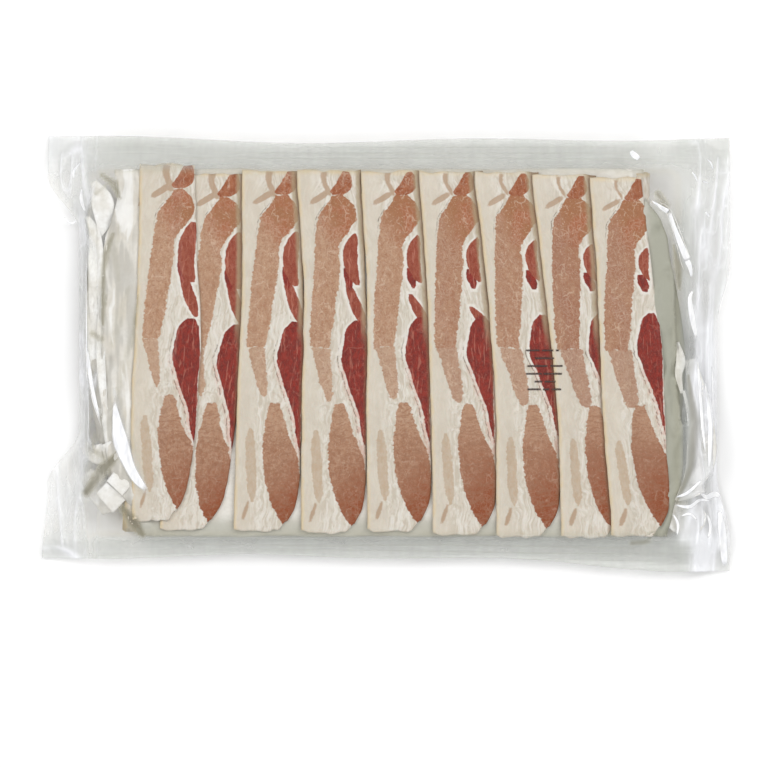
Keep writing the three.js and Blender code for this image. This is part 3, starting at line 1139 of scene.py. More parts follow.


# Pinched folds of the film, drawn white as painted highlights: a line of points, widths, heights over the
# film, tilt, roll and crease height.
FILM_FOLDS = (
    (((-190, -30), (-188.4, -46), (-185.5, -62), (-179.5, -78.5), (-173.8, -88.5), (-166, -97)),
     (0.8, 7.0, 12.5, 9.0, 7.4, 3.6), (0.3, 0.5, 0.6, 0.5, 0.4, 0.3), 0, -0.09, 0),
    (((-209.5, 5), (-208, -10), (-204.5, -30), (-200, -47)),
     (2, 3.2, 3.0, 1.2), (0.3, 0.5, 0.5, 0.3), 0, -0.2, 0),
    (((-210.4, 88), (-210.0, 40), (-209.8, 0), (-209.4, -40), (-209, -75)),
     (0.6, 0.9, 1.0, 0.9, 0.6), (0.3,) * 5, 0, -0.2, 0),
    (((-219.5, 123), (-219, 129), (-214, 135)), (1, 2.0, 1), (0.3, 0.4, 0.3), 0, -0.2, 0),
    (((-227, 96.5), (-222, 92), (-217, 94)), (0.8, 2.0, 1), (0.3, 0.4, 0.3), 0, -0.2, 0),
    (((-213.5, 117), (-214, 108), (-211, 99)), (1, 3.2, 1), (0.3, 0.4, 0.3), 0, -0.2, 0),
    (((172.5, 143), (175, 139.5), (178.5, 136.5)), (3, 6, 4), (0.3, 0.5, 0.3), 0, -0.12, 0),
    (((186, 107.5), (194, 102), (198.5, 99)), (0.8, 3.4, 4.8), (0.3, 0.6, 0.6), 0, -0.2, 0),
    (((198.5, 100), (202.5, 88), (208, 74), (212.5, 64)),
     (3.4, 3.6, 5.4, 6.4), (0.5, 0.6, 0.6, 0.5), 0, -0.16, 0),
    (((211, 66), (213.5, 60), (214.8, 53)), (5.4, 3.8, 1.6), (0.4, 0.4, 0.3), 0, -0.16, 0),
    (((216, 45), (213.5, 38), (215.5, 24), (219, 9)),
     (1.6, 3.4, 5.0, 2.4), (0.3, 0.5, 0.5, 0.3), 0, -0.16, 0),
    (((226, 137), (229, 134.5), (231, 129.5)), (0.8, 1.7, 0.8), (0.3, 0.3, 0.3), 0, -0.2, 0),
    (((214.5, 127.5), (217, 125), (219, 120.5)), (0.8, 1.6, 0.8), (0.3, 0.3, 0.3), 0, -0.2, 0),
    (((223, 121), (227, 120)), (1.2, 1.2), (0.3, 0.3), 0, -0.2, 0),
    (((225, 100), (228, 96)), (2, 1.6), (0.3, 0.3), 0, -0.2, 0),
    (((224, -14), (227, -40), (228, -62), (227, -84)),
     (1.2, 3.4, 3.8, 1.2), (0.3, 0.5, 0.5, 0.3), 0, -0.2, 0),
    (((219, 2), (220.5, -22), (222.5, -50), (225, -72)),
     (0.8, 2.4, 2.6, 1.0), (0.3, 0.5, 0.5, 0.3), 0, -0.2, 0),
    (((230, -6), (231.3, -38), (230.4, -70)), (0.8, 2.4, 1.0), (0.3, 0.4, 0.3), 0, -0.2, 0),
    (((220, -97), (226, -101), (232, -99), (237, -101)), (1, 4, 5, 2), (0.3, 0.6, 0.6, 0.3), 0, -0.16, 0.6),
    (((226, -112), (229, -122), (227, -130)), (1, 3, 1), (0.3, 0.4, 0.3), 0, -0.16, 0.4),
    (((235, -109), (237.5, -126), (240, -152)), (3, 7, 5), (0.25, 0.3, 0.2), 0, -0.04, 0),
    (((203, -101), (212, -97.5), (223, -88)), (0.8, 2.8, 1.2), (0.3, 0.5, 0.3), 0, -0.16, 0.3),
    (((202, -106), (213, -107.5), (221, -103), (230, -104)),
     (0.8, 3, 2.6, 1), (0.3, 0.6, 0.5, 0.3), 0, -0.16, 0.3),
    (((207, -114), (213.5, -112.5), (219, -117)), (0.8, 2.4, 1), (0.3, 0.5, 0.3), 0, -0.16, 0.3),
    (((201.5, -112), (205, -119.5), (204.5, -128)), (0.8, 2.2, 0.8), (0.3, 0.5, 0.3), 0, -0.16, 0.3),
)

# Hollows under the film at the pack's ends, and fine lines along its sides, pressed in and darkened with
# painted shade: lines of points with half widths, then depth.
HOLLOWS = (
    (((-199, 125), (-190, 119), (-186, 108)), (2.0, 3.4, 1.0), 0.9),
    (((-191, 84), (-196, 70), (-198, 58), (-198, 20)), (1.5, 3.0, 2.2, 1.0), 0.7),
    (((-197, 40), (-197, 34)), (2.0, 2.0), 0.6),
    (((-205.5, 14), (-199, 10)), (2.4, 2.4), 0.6),
    (((-187, -70), (-197, -80), (-211, -98)), (2.4, 5.4, 3.6), 0.95),
    (((-185, -108), (-177, -118), (-170, -128)), (2.5, 5.5, 2.5), 0.9),
    (((-209, -66), (-198, -72)), (1.5, 3.5), 0.5),
    (((-180, 46), (-186, 26), (-191.5, 6)), (1.5, 4.6, 2.2), 0.16),
    (((-177, 16), (-182, -6), (-188.5, -30)), (1.5, 4.4, 1.8), 0.16),
    (((-173.2, 41), (-175.6, 22), (-177.4, 4)), (0.7, 1.5, 0.8), 0.6),
    (((-186, 88), (-190, 70), (-187, 52)), (1.5, 3.0, 1.5), 0.18),
    (((-203, -58), (-208, -68)), (3.5, 1.0), 0.4),
    (((-196, 118), (-203, 112)), (1.5, 1.5), 0.4),
    (((191, 112), (196, 104)), (3.2, 3.8), 0.9),
    (((202.5, 76), (205.6, 60), (206, 46)), (1.0, 4.4, 2.0), 0.85),
    (((203, 92), (208, 72)), (1.0, 1.6), 0.5),
    (((212.5, -15), (216.8, -48), (214.8, -78), (205.5, -102)), (1.2, 5.0, 4.0, 1.6), 0.74),
    (((173, -133), (184, -132), (187, -126)), (2.5, 2.5, 1.8), 0.7),
    (((-212, 60), (-211, 0), (-211, -60)), (1.5, 2.4, 1.5), 0.3),
    (((-150, -133.5), (-60, -135), (40, -134.2), (176, -136.5)), (0.6, 0.9, 0.9, 0.7), 0.32),
    (((-120, -137.5), (0, -138.6), (120, -140.5), (200, -141)), (0.5, 0.8, 0.8, 0.5), 0.26),
    (((-90, -142.2), (60, -144), (190, -146.5)), (0.5, 0.8, 0.5), 0.2),
    (((-150, 137.6), (-40, 136.6), (60, 137.4), (190, 136)), (0.6, 0.8, 0.8, 0.6), 0.26),
    (((-120, 141.4), (20, 140.6), (170, 141)), (0.5, 0.9, 0.5), 0.24),
    (((-60, 145.4), (80, 145.2), (160, 146)), (0.5, 0.8, 0.5), 0.2),
)


# Painted glows: soft pale places on the film beside its brightest folds, in the same form.
GLOWS = (
    (((-190, -26), (-186, -52), (-178, -78), (-168, -97)), (3.0, 9.0, 9.5, 4.0), 0.62),
    (((-205, -8), (-202, -34), (-197, -54)), (2.0, 5.0, 3.0), 0.4),
    (((188, 106), (201, 88), (212, 62)), (3.0, 7.0, 5.0), 0.4),
    (((208, -100), (217, -96), (226, -88)), (4.0, 7.0, 5.0), 0.5),
    (((-197, 112), (-202, 92), (-204, 60)), (4.0, 5.0, 3.0), 0.3),
)


def film_columns():
    """The bag's columns: a share of the way out to an end, and an X on the stack."""
    ends = np.linspace(1.0, 0.0, 56)
    over_paper = np.arange(STACK_LEFT, -160.0, 1.3)
    over_slices = np.arange(-160.0, 188.0, 3.2)
    middle = np.concatenate([over_paper, over_slices, np.arange(188.0, STACK_RIGHT, 1.6)])
    out = np.concatenate([-ends[:-1], np.zeros(len(middle)), ends[:-1][::-1]])
    on_stack = np.concatenate([np.full(55, STACK_LEFT), middle, np.full(55, STACK_RIGHT)])
    return out, on_stack


def film_rows():
    """The bag's rows: a share of the way out to a side, and a Y on the stack."""
    sides = np.linspace(1.0, 0.0, 32)
    middle = np.linspace(STACK_FRONT, STACK_BACK, 170)
    out = np.concatenate([-sides[:-1], np.zeros(len(middle)), sides[:-1][::-1]])
    on_stack = np.concatenate([np.full(31, STACK_FRONT), middle, np.full(31, STACK_BACK)])
    return out, on_stack


def reach(out, on_stack, low_edge, high_edge):
    """A place on the stack, or part of the way from its edge to the bag's edge."""
    target = np.where(out < 0, low_edge, high_edge)
    return on_stack + np.abs(out) * (target - on_stack)


def bag_grid():
    """The upper film's grid: X and Y, and how far out each point is towards an end (signed) and a side."""
    column_out, column_x = film_columns()
    row_out, row_y = film_rows()
    out_x, out_y = np.meshgrid(column_out, row_out, indexing="ij")
    base_x, base_y = np.meshgrid(column_x, row_y, indexing="ij")
    near_x = reach(out_x, base_x, left_edge(0.0), right_edge(0.0))
    y = reach(out_y, base_y, front_edge(near_x), back_edge(near_x))
    x = reach(out_x, base_x, left_edge(y), right_edge(y))
    return x, y, np.abs(out_x), np.abs(out_y)


def film_folds(x, y, end, side):
    """Relief of the loose film: folds along its ends, turned at the corners, and fine lines on its sides."""
    tall_folds = creases(x, 0.2 * y, 9.0, 201) + 0.5 * creases(x, 0.3 * y, 4.0, 207)
    corner = smooth(end, 0.15, 0.6) * smooth(side, 0.1, 0.6)
    turned = creases(0.7 * (x + np.sign(x * y) * y), 0.3 * (x - np.sign(x * y) * y), 13.0, 211)
    folds = tall_folds * (1.0 - corner) + turned * corner
    line_folds = creases(0.12 * x, y + 1.2 * cloud(x, y * 0.0, 60.0, 221), 3.4, 223, 4.0)
    return folds, line_folds


def film_look(x, y, end, folds, line_folds, side_zone, hollow):
    """What the film's material reads: how hazy it is, how pale with painted highlights, and how deep the
    painted shade of its hollows is.
    """
    # Haze beyond the stack's sides and ends, and on the folds of the loose film
    over_side = np.clip(smooth(y, 123.0, 137.0) + smooth(-y, 122.0, 135.0), 0, 1)
    over_end = np.clip(smooth(-x, 203.0, 216.0) + smooth(x, 198.0, 214.0), 0, 1)
    haze = 0.015 + 0.5 * over_side + 0.36 * over_end * (1.0 - 0.6 * over_side)
    loose_end = np.clip(end * 4.0, 0, 1)
    patches = 0.6 * cloud(x, 0.45 * y, 15.0, 231, 2) + 0.6 * cloud(x, 0.8 * y, 27.0, 237, 2)
    haze = haze + (0.34 * (folds - 0.35) + 0.14 * patches) * loose_end + 0.16 * (line_folds - 0.2) * side_zone
    # Whiter film at both ends, with painted highlights on the ridges of its folds and in soft patches
    pale = 0.6 * smooth(x, 206.0, 222.0) * (1.0 - 0.6 * smooth(y, 60.0, 130.0))
    pale = pale + 0.6 * smooth(-x, 204.0, 220.0)
    pale = pale + (0.9 * np.clip(folds - 0.35, 0, 1) + 0.35 * patches) * loose_end
    # Painted highlights on the doubled film along the right end, at its front corner and along the left end,
    # broken by painted shade lines, and painted glows beside the brightest folds
    bright = smooth(x, 211.0, 219.0) * (1.0 - smooth(y, 20.0, 62.0)) * (1.0 - smooth(x, 230.0, 243.0) * 0.6)
    front_corner = smooth(-y, 104.0, 112.0) * (1.0 - smooth(-y, 128.0, 140.0))
    bright = bright + 0.8 * smooth(x, 196.0, 206.0) * front_corner
    left_streak = smooth(-x, 205.0, 211.0) * (1.0 - smooth(-x, 213.0, 222.0))
    bright = bright + 0.7 * left_streak * waist(y, -98.0, 84.0, 20.0)
    shade_lines = creases(x, 0.16 * y, 6.5, 241, 1.6) + 0.4 * cloud(x, 0.3 * y, 9.0, 243, 2)
    bright = np.clip(bright, 0, 1) * np.clip(0.35 + 0.75 * shade_lines, 0.1, 1.0)
    for path, half_widths, strength in GLOWS:
        bright = np.maximum(bright, strength * streak(x, y, path, half_widths, 1.4))
    haze = haze + 0.42 * bright
    pale = pale + 0.9 * bright
    return np.stack([np.clip(haze, 0, 1).ravel(), np.clip(pale, 0, 1).ravel(), hollow.ravel()], 1)


# The under film's rings of points, as shares of the way from the middle to the rim.
UNDER_RINGS = (1.0, 0.985, 0.965, 0.94, 0.91, 0.88, 0.85, 0.83, 0.6, 0.3, 0.06)


def make_bag(heights, material, wrinkle):
    """The clear bag: an upper film drawn over the contents and a flat under film, joined round the rim."""
    x, y, end, side = bag_grid()
    across, along = x.shape
    # The film lies on the contents, and falls from the stack's edge to the fin at the bag's rim
    out = np.minimum(1.0, np.hypot(end, side))
    fall = np.sin(out * np.pi / 2.0) ** 1.4
    end_share = smooth(end, 0.0, 1.0)
    fin = SIDE_FIN + (END_FIN - SIDE_FIN) * end_share
    fin = fin + (EAR_FIN - fin) * end_share * smooth(side, 0.0, 1.0)
    membrane = PAPER_LEVEL + (fin - PAPER_LEVEL) * fall
    contents = sample_map(heights, x, y) + FILM_GAP
    z = np.maximum(membrane, np.where(out < 1.0, contents, 0.0) * smooth(1.0 - out, 0.0, 0.2))
    # Folds where it is loose, fine lines on its sides, and the shaded hollows
    loose = np.sin(np.pi * np.clip(end, 0, 1)) + 0.5 * np.sin(np.pi * np.clip(side, 0, 1)) * end
    folds, line_folds = film_folds(x, y, end, side)
    z = z + wrinkle * loose * (folds - 0.3)
    side_zone = np.sin(np.pi * np.clip(side, 0, 1)) * (1.0 - smooth(end, 0.0, 0.5))
    z = z + 0.16 * wrinkle * line_folds * side_zone
    hollow = np.zeros_like(x)
    for path, half_widths, depth in HOLLOWS:
        hollow = np.maximum(hollow, depth * streak(x, y, path, half_widths, 0.8))
    z = z - HOLLOW_DEPTH * hollow
    # The under film, in rings from the rim towards the middle, with one many-sided face to close it
    top = np.stack([x.ravel(), y.ravel(), z.ravel()], 1)
    rim = rim_loop(across, along)
    rings = [top]
    faces = [sheet_faces(across, along)]
    ring_look = [film_look(x, y, end, folds, line_folds, side_zone, hollow)]
    before = rim
    fin_height = np.minimum(fin.ravel()[rim], z.ravel()[rim]) - 0.3
    for number, share in enumerate(UNDER_RINGS):
        ring = top[rim] * [share, share, 0.0]
        ring[:, 2] = np.maximum(0.05, fin_height * smooth(share, 0.84, 1.0))
        now = across * along + number * len(rim) + np.arange(len(rim))
        faces.append(np.stack([before, now, np.roll(now, -1), np.roll(before, -1)], axis=-1))
        rings.append(ring)
        ring_look.append(np.tile([0.03 + 0.08 * share, 0.3, 0.0], (len(rim), 1)))
        before = now
    points = np.concatenate(rings)
    face_list = list(np.concatenate(faces)) + [before[::-1]]
    thing = new_object("film_bag", points, face_list, material)
    bag_layout(thing, across, along)
    mark(thing, "film", np.concatenate(ring_look))
    grain = points * [1.0, 1.0, 0.0]
    grain[across * along:, 2] = 40.0
    mark(thing, "grain", grain)
    return thing


def rim_loop(across, along):
    """The points round a grid's edge in order."""
    front = np.arange(across - 1) * along
    right = (across - 1) * along + np.arange(along - 1)
    back = (across - 1 - np.arange(across - 1)) * along + along - 1
    left = along - 1 - np.arange(along - 1)
    return np.concatenate([front, right, back, left])


def bag_layout(thing, across, along):
    """The upper film fills most of the layout, and the under film a band below it."""
    layer = thing.data.uv_layers.new(name="OFBake")
    corner = np.zeros(len(thing.data.loops), np.int32)
    thing.data.loops.foreach_get("vertex_index", corner)
    points = np.zeros(len(thing.data.vertices) * 3, np.float32)
    thing.data.vertices.foreach_get("co", points)
    points = points.reshape(-1, 3)[corner] / MM
    top_loops = (across - 1) * (along - 1) * 4
    flat = np.zeros((len(corner), 2))
    flat[:, 0] = 0.5 + 0.98 * points[:, 0] / (1.01 * BAG_LENGTH)
    flat[:, 1] = 0.06 + 0.1 * points[:, 1] / (1.01 * BAG_WIDTH)
    column = corner[:top_loops] // along
    row = corner[:top_loops] % along
    flat[:top_loops, 0] = in_band(BAKE_WIDE, column / (across - 1))
    flat[:top_loops, 1] = in_band(BAKE_TOP, row / (along - 1))
    layer.data.foreach_set("uv", flat.astype(np.float32).ravel())


def film_material(looks):
    """Clear film: almost invisible where it is tight, grey-green where it is loose, white with painted
    highlights on its folds and ends, and darker with painted shade in its hollows.
    """
    r = Recipe("clear_film")
    haze, pale, hollow = r.parts(r.attribute("film"))
    grain = r.attribute("grain")
    soft = r.noise(r.stretch(grain, (1.0, 0.35, 1.0)), 0.05, 3.0, 0.55)
    fine = r.noise(r.stretch(grain, (1.0, 0.5, 1.0)), 0.4, 3.0, 0.6)
    share = r.times(haze, r.ramp(soft, 0.25, 0.75, 0.75, 1.25))
    # Painted shade makes the film more solid in its hollows
    share = r.plus(share, r.times(hollow, 0.7))
    share = r.node("ShaderNodeClamp", {0: share, 1: 0.0, 2: 0.94}).outputs[0]
    colour = r.blend(r.ramp(haze, 0.12, 0.3), looks["film_tight"], looks["film"])
    # Painted highlights where the film is pale, and painted shade in its hollows
    colour = r.blend(pale, colour, looks["film_pale"])
    colour = r.blend(r.times(hollow, 0.95), colour, looks["hollow"])
    roughness = r.ramp(fine, 0.3, 0.7, 0.14, 0.26)
    body = r.principled(
        {
            "Base Color": colour,
            "Roughness": roughness,
            "Normal": r.relief(fine, 0.12, 0.0008),
            "Alpha": share,
        }
    )
    return r.finish(body)


def fold_highlight_material(looks):
    """Film doubled on itself, painted white as a highlight: bright, smooth and nearly opaque."""
    r = Recipe("film_fold")
    grain = r.attribute("grain")
    soft = r.noise(r.stretch(grain, (1.0, 0.3, 1.0)), 0.3, 2.0, 0.5)
    colour = r.blend(r.ramp(soft, 0.35, 0.7), looks["film_fold"], looks["film_pale"])
    fade = r.parts(r.attribute("fade"))[0]
    alpha = r.times(r.ramp(fade, 0.0, 0.75), r.ramp(soft, 0.3, 0.8, 1.0, 0.8))
    roughness = r.ramp(soft, 0.3, 0.7, 0.2, 0.3)
    return r.finish(r.principled({"Base Color": colour, "Roughness": roughness, "Alpha": alpha}))


# ---------------------------------------------------------------------------------------------------------
# The stamp: rows of plain dashes in place of small print

STAMP_MIDDLE = (111.5, -11.5)
STAMP_ROW_PITCH = 5.45
STAMP_BAR_HEIGHT = 1.25
STAMP_LIFT = 0.12
STAMP_THICKNESS = 0.05
STAMP_GRID = (17, 4)

# Where each row's dashes start and end, from the stamp's middle.
STAMP_ROWS = (
    ((-13.0, -3.5), (-1.8, 6.0), (7.8, 10.0)),
    ((-6.5, 6.5),),
    ((-12.0, 2.0), (4.0, 12.5)),
    ((-13.0, -2.0), (-0.8, 12.0)),
    ((-7.0, -1.6), (0.0, 7.5)),
    ((-12.0, -3.0), (-1.2, 3.4), (5.0, 11.5)),
)


def make_stamp(surface, material):
    """Short dark bars on the film."""
    points = []
    faces = []
    count = 0
    columns, rows = STAMP_GRID
    for number, bars in enumerate(STAMP_ROWS):
        middle_y = STAMP_MIDDLE[1] + STAMP_ROW_PITCH * (0.5 * (len(STAMP_ROWS) - 1) - number)
        for start, end in bars:
            along_bar = np.linspace(start, end, columns)
            across, up = np.meshgrid(along_bar, np.linspace(-0.5, 0.5, rows), indexing="ij")
            x = STAMP_MIDDLE[0] + across
            y = middle_y + up * STAMP_BAR_HEIGHT
            z = surface(x, y)
            top = np.stack([x, y, z + STAMP_LIFT], axis=-1)
            size = columns * rows
            faces.append(count + slab_faces(columns, rows))
            points.extend([top.reshape(-1, 3), (top - [0, 0, STAMP_THICKNESS]).reshape(-1, 3)])
            count += 2 * size
    thing = new_object("stamp_bars", np.concatenate(points), np.concatenate(faces), material)
    plane_layout(thing, np.concatenate(points))
    mark(thing, "grain", np.concatenate(points))
    return thing


def stamp_material(looks):
    """Dark ink, a little broken."""
    r = Recipe("stamp_ink")
    grain = r.attribute("grain")
    broken = r.noise(grain, 1.4, 2.0, 0.6)
    colour = r.blend(r.ramp(broken, 0.4, 0.8), looks["ink"], looks["ink_worn"])
    alpha = r.ramp(broken, 0.3, 0.6, 0.92, 0.45)
    return r.finish(r.principled({"Base Color": colour, "Roughness": 0.55, "Alpha": alpha}))


# ---------------------------------------------------------------------------------------------------------
# Stage

# The floor's half side and height in millimetres, so that nothing lies in one plane with it.
FLOOR_SIDE = 3000.0
FLOOR_LEVEL = -0.1
WORLD_STRENGTH = 0.45

# Each light's place and size in metres, and its power in watts.
LIGHTS = {
    "soft_right": ((0.9, 0.75, 1.5), 1.0, 13.5),
    "soft_left": ((-1.0, 0.5, 1.4), 1.0, 10.5),
    "soft_front": ((0.1, -1.2, 1.3), 0.9, 8.0),
}

# Where the camera stands over the pack, in metres.
CAMERA_PLACE = (-0.001, -0.0214)
SENSOR_WIDTH = 36.0


def aim(thing, target):
    """Turns a light or camera to face a point."""
    direction = target - np.array(thing.location)
    distance = np.linalg.norm(direction)
    flat = math.hypot(direction[0], direction[1])
    pitch = math.atan2(flat, -direction[2])
    turn = math.atan2(direction[0], direction[1]) if flat > 1e-6 * distance else 0.0
    thing.rotation_euler = (pitch, 0.0, -turn)


def add_light(name, place, size, power):
    """One soft square light that faces the pack."""
    lamp = bpy.data.lights.new(name, "AREA")
    lamp.shape = "SQUARE"
    lamp.size = size
    lamp.energy = power
    light = bpy.data.objects.new(name, lamp)
    bpy.context.scene.collection.objects.link(light)
    light.location = place
    aim(light, np.zeros(3))


# ---------------------------------------------------------------------------------------------------------
# What a user can change


def colour_setting(label, text, red, green, blue):
    """A colour setting whose default is a screen colour."""
    return bpy.props.FloatVectorProperty(
        name=label,
        description=text,
        subtype="COLOR",
        size=4,
        min=0.0,
        max=1.0,
        default=linear(red, green, blue),
    )


class BaconMeatSettings(bpy.types.PropertyGroup):
    """Colours of the bacon."""

    fat: colour_setting("Fat", "Cream fat of the slices", 206, 197, 182)
    fat_pale: colour_setting("Pale fat", "Palest fat of the slices", 209, 202, 190)
    fat_shade: colour_setting("Fat shade", "Greyer fibres in the fat", 198, 188, 173)
    fat_fibre: colour_setting("Fat fibre", "Darker fibres between the muscles", 184, 172, 154)
    fat_white: colour_setting("White fat", "White seams and fibres of the fat", 222, 217, 209)
    lean_shade: colour_setting("Lean shade", "Darker grain of the pale lean", 142, 98, 72)
    rind: colour_setting("Rind edge", "Yellowed outer edge of the fat", 214, 194, 156)
    pink_fat: colour_setting("Pink fat", "Fat stained by the red muscle", 200, 158, 140)
    tan: colour_setting("Tan lean", "Middle of the long muscle", 165, 123, 94)
    tan_pale: colour_setting("Pale tan lean", "Paler parts of the long muscle", 180, 144, 116)
    pink_lean: colour_setting("Pink lean", "Pinker lean of the later slices", 146, 92, 66)
    upper: colour_setting("Upper lean", "Back end of the long muscle", 154, 102, 66)
    upper_orange: colour_setting("Orange lean", "Orange patches at the back end", 158, 93, 58)
    tip: colour_setting("Tip lean", "Small muscle at the back end", 138, 68, 30)
    eye: colour_setting("Eye muscle", "Upper of the small dark muscles", 134, 52, 30)
    eye_pale: colour_setting("Pale eye muscle", "Paler parts of the small dark muscles", 150, 76, 54)
    red: colour_setting("Red muscle", "Brighter red of the large dark muscle", 136, 28, 11)
    red_dark: colour_setting("Dark red muscle", "Darker red of the large dark muscle", 106, 14, 4)
    oval: colour_setting("Front muscle", "Brown muscle at the front end", 150, 104, 76)
    oval_pale: colour_setting("Pale front muscle", "Paler parts of the front muscle", 170, 130, 103)
    oval_low: colour_setting("Front muscle tip", "Orange-brown tip of the front muscle", 134, 61, 18)
    strip: colour_setting("Thin muscle", "Thin muscle near the left edge", 180, 156, 130)
    trace: colour_setting("Veins", "Small veins and specks in the fat", 170, 142, 116)
    marbling: colour_setting("Marbling", "Fine fat in the lean", 206, 180, 158)
    streak: colour_setting("Streaks", "Fine streaks in the red muscle", 196, 130, 110)
    # Painted shadows cast by the lap of the next slice
    lap_shade: colour_setting("Lap shade", "Olive shade beside the lap of the next slice", 160, 142, 112)
    edge_shade: colour_setting("Edge shade", "Brown shade along the lap of the next slice", 122, 90, 64)
    crack: colour_setting("Cracks", "Cracks in the fat", 92, 74, 62)


class BaconWrapSettings(bpy.types.PropertyGroup):
    """Colours of the paper, the film and the stamp, and how wrinkled the film is."""

    paper: colour_setting("Paper", "Grease-proof paper", 224, 221, 214)
    paper_greasy: colour_setting("Greasy paper", "Paper soaked by fat", 212, 206, 195)
    paper_shade: colour_setting("Paper shade", "Greyer mottling of the paper", 196, 193, 185)
    # Clean paper of the loose strips, also used as painted light on the ridges of the soft folds; then the
    # painted shade in those folds
    paper_clean: colour_setting("Clean paper", "Folded parts of the sheets at the pack's ends", 242, 242, 240)
    paper_fold: colour_setting("Paper folds", "Shade in the soft folds of the paper", 176, 173, 165)
    # Painted shade on the top sheet beside the last slice and between the slices' front ends
    paper_shadow: colour_setting("Paper shadow", "Paper wetted through beside the last slice", 160, 160, 146)
    film: colour_setting("Film haze", "Haze of the loose film", 204, 207, 201)
    film_tight: colour_setting("Tight film", "Film drawn tight over the meat", 206, 200, 172)
    # Pale film at the pack's ends, also used for painted highlights; the white of the folds is a painted
    # highlight, and the hollow colour is painted shade in the film's hollows and along its sides
    film_pale: colour_setting("Pale film", "Haze at the pack's ends", 246, 247, 250)
    film_fold: colour_setting("Film fold", "White folds of the film", 255, 255, 255)
    hollow: colour_setting("Hollow", "Shaded hollows under the loose film", 126, 121, 102)
    ink: colour_setting("Ink", "Stamp ink", 56, 45, 42)
    ink_worn: colour_setting("Worn ink", "Thin parts of the stamp", 122, 92, 82)
    wrinkle: bpy.props.FloatProperty(
        name="Wrinkle height",
        description="Height of the folds in the film's loose ends, in metres",
        default=0.0022,
        min=0.0,
        max=0.006,
        unit="LENGTH",
    )


class BaconStageSettings(bpy.types.PropertyGroup):
    """Floor, lights and camera."""

    floor: colour_setting("Floor", "Pale floor", 254, 254, 254)
    camera_height: bpy.props.FloatProperty(
        name="Camera height",
        description="How far the camera is above the floor",
        default=3.017,
        min=0.5,
        unit="LENGTH",
    )
    lens: bpy.props.FloatProperty(
        name="Lens", description="Focal length", default=200.0, min=20.0, unit="CAMERA"
    )


def looks_of(settings):
    """A settings group's colours by name."""
    names = type(settings).__annotations__
    return {key: tuple(getattr(settings, key)) for key in names if hasattr(getattr(settings, key), "__len__")}


class BACON_OT_slices(bpy.types.Operator):
    """Lays the shingled slices of the top layer"""

    bl_idname = "bacon.slices"
    bl_label = "Slices"

    def execute(self, context):
        material = meat_material(looks_of(context.scene.bacon_meat))
        for index in range(len(SLICES)):
            belongs(make_slice(index, material))
        return {"FINISHED"}


class BACON_OT_lower_layers(bpy.types.Operator):
    """Lays the slices and papers of the layers under the top one"""

    bl_idname = "bacon.lower_layers"
    bl_label = "Lower Layers"

    def execute(self, context):
        meat = bpy.data.materials.get("raw_bacon")
        if meat is None:
            raise RuntimeError("Lay the top slices first")
        belongs(lower_slices(meat))
        paper = paper_material(looks_of(context.scene.bacon_wrap))
        for layer in range(1, LOWER_LAYERS):
            seed = 400 + 9 * layer
            shift = 1.5 * chance(layer, 1, 8)
            sheet = paper_sheet(
                f"lower_paper_{layer}",
                paper,
                left=lambda y: lower_paper_left(y) + shift + 0.9 * cloud(y, y * 0.0, 30.0, seed),
                right=lambda y: lower_paper_right(y) + shift + 0.9 * cloud(y, y * 0.0, 30.0, seed + 1),
                front=STACK_FRONT + 3.0,
                back=STACK_BACK - 4.0,
                level=layer * LAYER_PITCH + 0.25,
                droop=0.9,
                crumple=0.3,
                seed=seed,
                columns=70,
                rows=44,
            )
            belongs(sheet)
        return {"FINISHED"}


class BACON_OT_top_paper(bpy.types.Operator):
    """Lays the sheet under the top slices, and its loose strips at the pack's ends"""

    bl_idname = "bacon.top_paper"
    bl_label = "Top Paper"

    def execute(self, context):
        paper = bpy.data.materials.get("greaseproof_paper")
        if paper is None:
            raise RuntimeError("Lay the lower layers first")
        sheet = paper_sheet(
            "top_paper",
            paper,
            left=top_paper_left,
            right=top_paper_right,
            front=STACK_FRONT + 1.5,
            back=STACK_BACK - 2.5,
            level=PAPER_LEVEL + 0.2,
            droop=1.2,
            crumple=2.6,
            seed=77,
            columns=210,
            rows=125,
        )
        belongs(sheet)
        looks = looks_of(context.scene.bacon_wrap)
        clean = paper_material(looks, "clean_paper", "paper_clean", "paper")
        belongs(ribbons("left_paper_folds", LEFT_STRIPS, clean))
        belongs(ribbons("folded_tag", TAG_STRIPS, clean))
        belongs(ribbons("right_paper_folds", RIGHT_STRIPS, clean))
        return {"FINISHED"}


# The pieces that the upper film lies on, by how their names start.
UNDER_FILM = ("slice_", "top_paper", "left_paper", "folded_tag", "right_paper")


class BACON_OT_bag(bpy.types.Operator):
    """Draws the clear bag over the contents and stamps it"""

    bl_idname = "bacon.bag"
    bl_label = "Bag and Stamp"

    def execute(self, context):
        settings = context.scene.bacon_wrap
        contents = [thing for thing in bpy.data.objects if thing.name.startswith(UNDER_FILM)]
        if not contents:
            raise RuntimeError("Lay the slices and papers first")
        heights = contents_map(contents)
        looks = looks_of(settings)
        bag = make_bag(heights, film_material(looks), settings.wrinkle / MM)
        belongs(bag)
        surface = film_height(bag)
        # The film's folds, drawn as white painted highlights
        belongs(ribbons("film_folds", FILM_FOLDS, fold_highlight_material(looks), surface))
        belongs(make_stamp(surface, stamp_material(looks)))
        return {"FINISHED"}


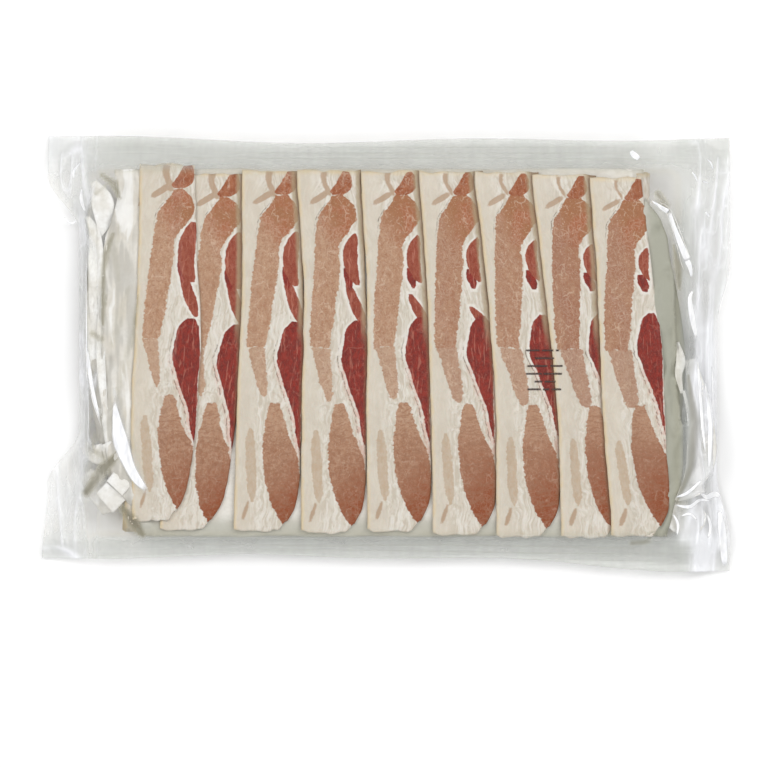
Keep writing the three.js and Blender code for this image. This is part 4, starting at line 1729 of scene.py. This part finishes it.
class BACON_OT_stage(bpy.types.Operator):
    """Sets the pale floor, the soft lights and the camera above the pack"""

    bl_idname = "bacon.stage"
    bl_label = "Stage"

    def execute(self, context):
        settings = context.scene.bacon_stage
        r = Recipe("pale_floor")
        position = r.node("ShaderNodeTexCoord", {}).outputs["Object"]
        shade = r.ramp(r.noise(position, 3.0, 2.0), 0.3, 0.7)
        base = tuple(settings.floor)
        tint = r.blend(shade, base, tuple(0.99 * value for value in base[:3]) + (1.0,))
        material = r.finish(r.principled({"Base Color": tint, "Roughness": 0.8}))
        around = ((-1, -1), (1, -1), (1, 1), (-1, 1))
        ends = [(across * FLOOR_SIDE, along * FLOOR_SIDE, FLOOR_LEVEL) for across, along in around]
        floor = new_object("floor", np.array(ends), np.array([[0, 1, 2, 3]]), material)
        world = bpy.data.worlds.new("studio")
        context.scene.world = world
        world.use_nodes = True
        sky = world.node_tree.nodes["Background"].inputs
        sky["Color"].default_value = (1.0, 1.0, 1.0, 1.0)
        sky["Strength"].default_value = WORLD_STRENGTH
        for name, (place, size, power) in LIGHTS.items():
            add_light(name, place, size, power)
        lens = bpy.data.cameras.new("camera")
        lens.lens = settings.lens
        lens.sensor_width = SENSOR_WIDTH
        camera = bpy.data.objects.new("camera", lens)
        context.scene.collection.objects.link(camera)
        camera.location = (*CAMERA_PLACE, settings.camera_height)
        context.scene.camera = camera
        context.scene.view_settings.view_transform = "Standard"
        return {"FINISHED"}


class BACON_PT_panel(bpy.types.Panel):
    """Lists the steps that build the pack"""

    bl_idname = "BACON_PT_panel"
    bl_label = "Bacon Pack"
    bl_space_type = "VIEW_3D"
    bl_region_type = "UI"
    bl_category = "Bacon Pack"

    def draw(self, context):
        for step in STEPS:
            self.layout.operator(step.bl_idname)


STEPS = (BACON_OT_slices, BACON_OT_lower_layers, BACON_OT_top_paper, BACON_OT_bag, BACON_OT_stage)
CLASSES = (BaconMeatSettings, BaconWrapSettings, BaconStageSettings, *STEPS, BACON_PT_panel)


def register():
    """Adds the settings, the steps and the panel to Blender."""
    for item in CLASSES:
        bpy.utils.register_class(item)
    bpy.types.Scene.bacon_meat = bpy.props.PointerProperty(type=BaconMeatSettings)
    bpy.types.Scene.bacon_wrap = bpy.props.PointerProperty(type=BaconWrapSettings)
    bpy.types.Scene.bacon_stage = bpy.props.PointerProperty(type=BaconStageSettings)


def unregister():
    """Takes them out again."""
    del bpy.types.Scene.bacon_stage
    del bpy.types.Scene.bacon_wrap
    del bpy.types.Scene.bacon_meat
    for item in reversed(CLASSES):
        bpy.utils.unregister_class(item)


def corners(box):
    """A box as plain lists of numbers."""
    return [[float(value) for value in corner] for corner in box]


def main():
    """Builds the pack and its stage."""
    register()
    for step in STEPS:
        family, verb = step.bl_idname.split(".")
        getattr(getattr(bpy.ops, family), verb)()


if __name__ == "__main__":
    main()
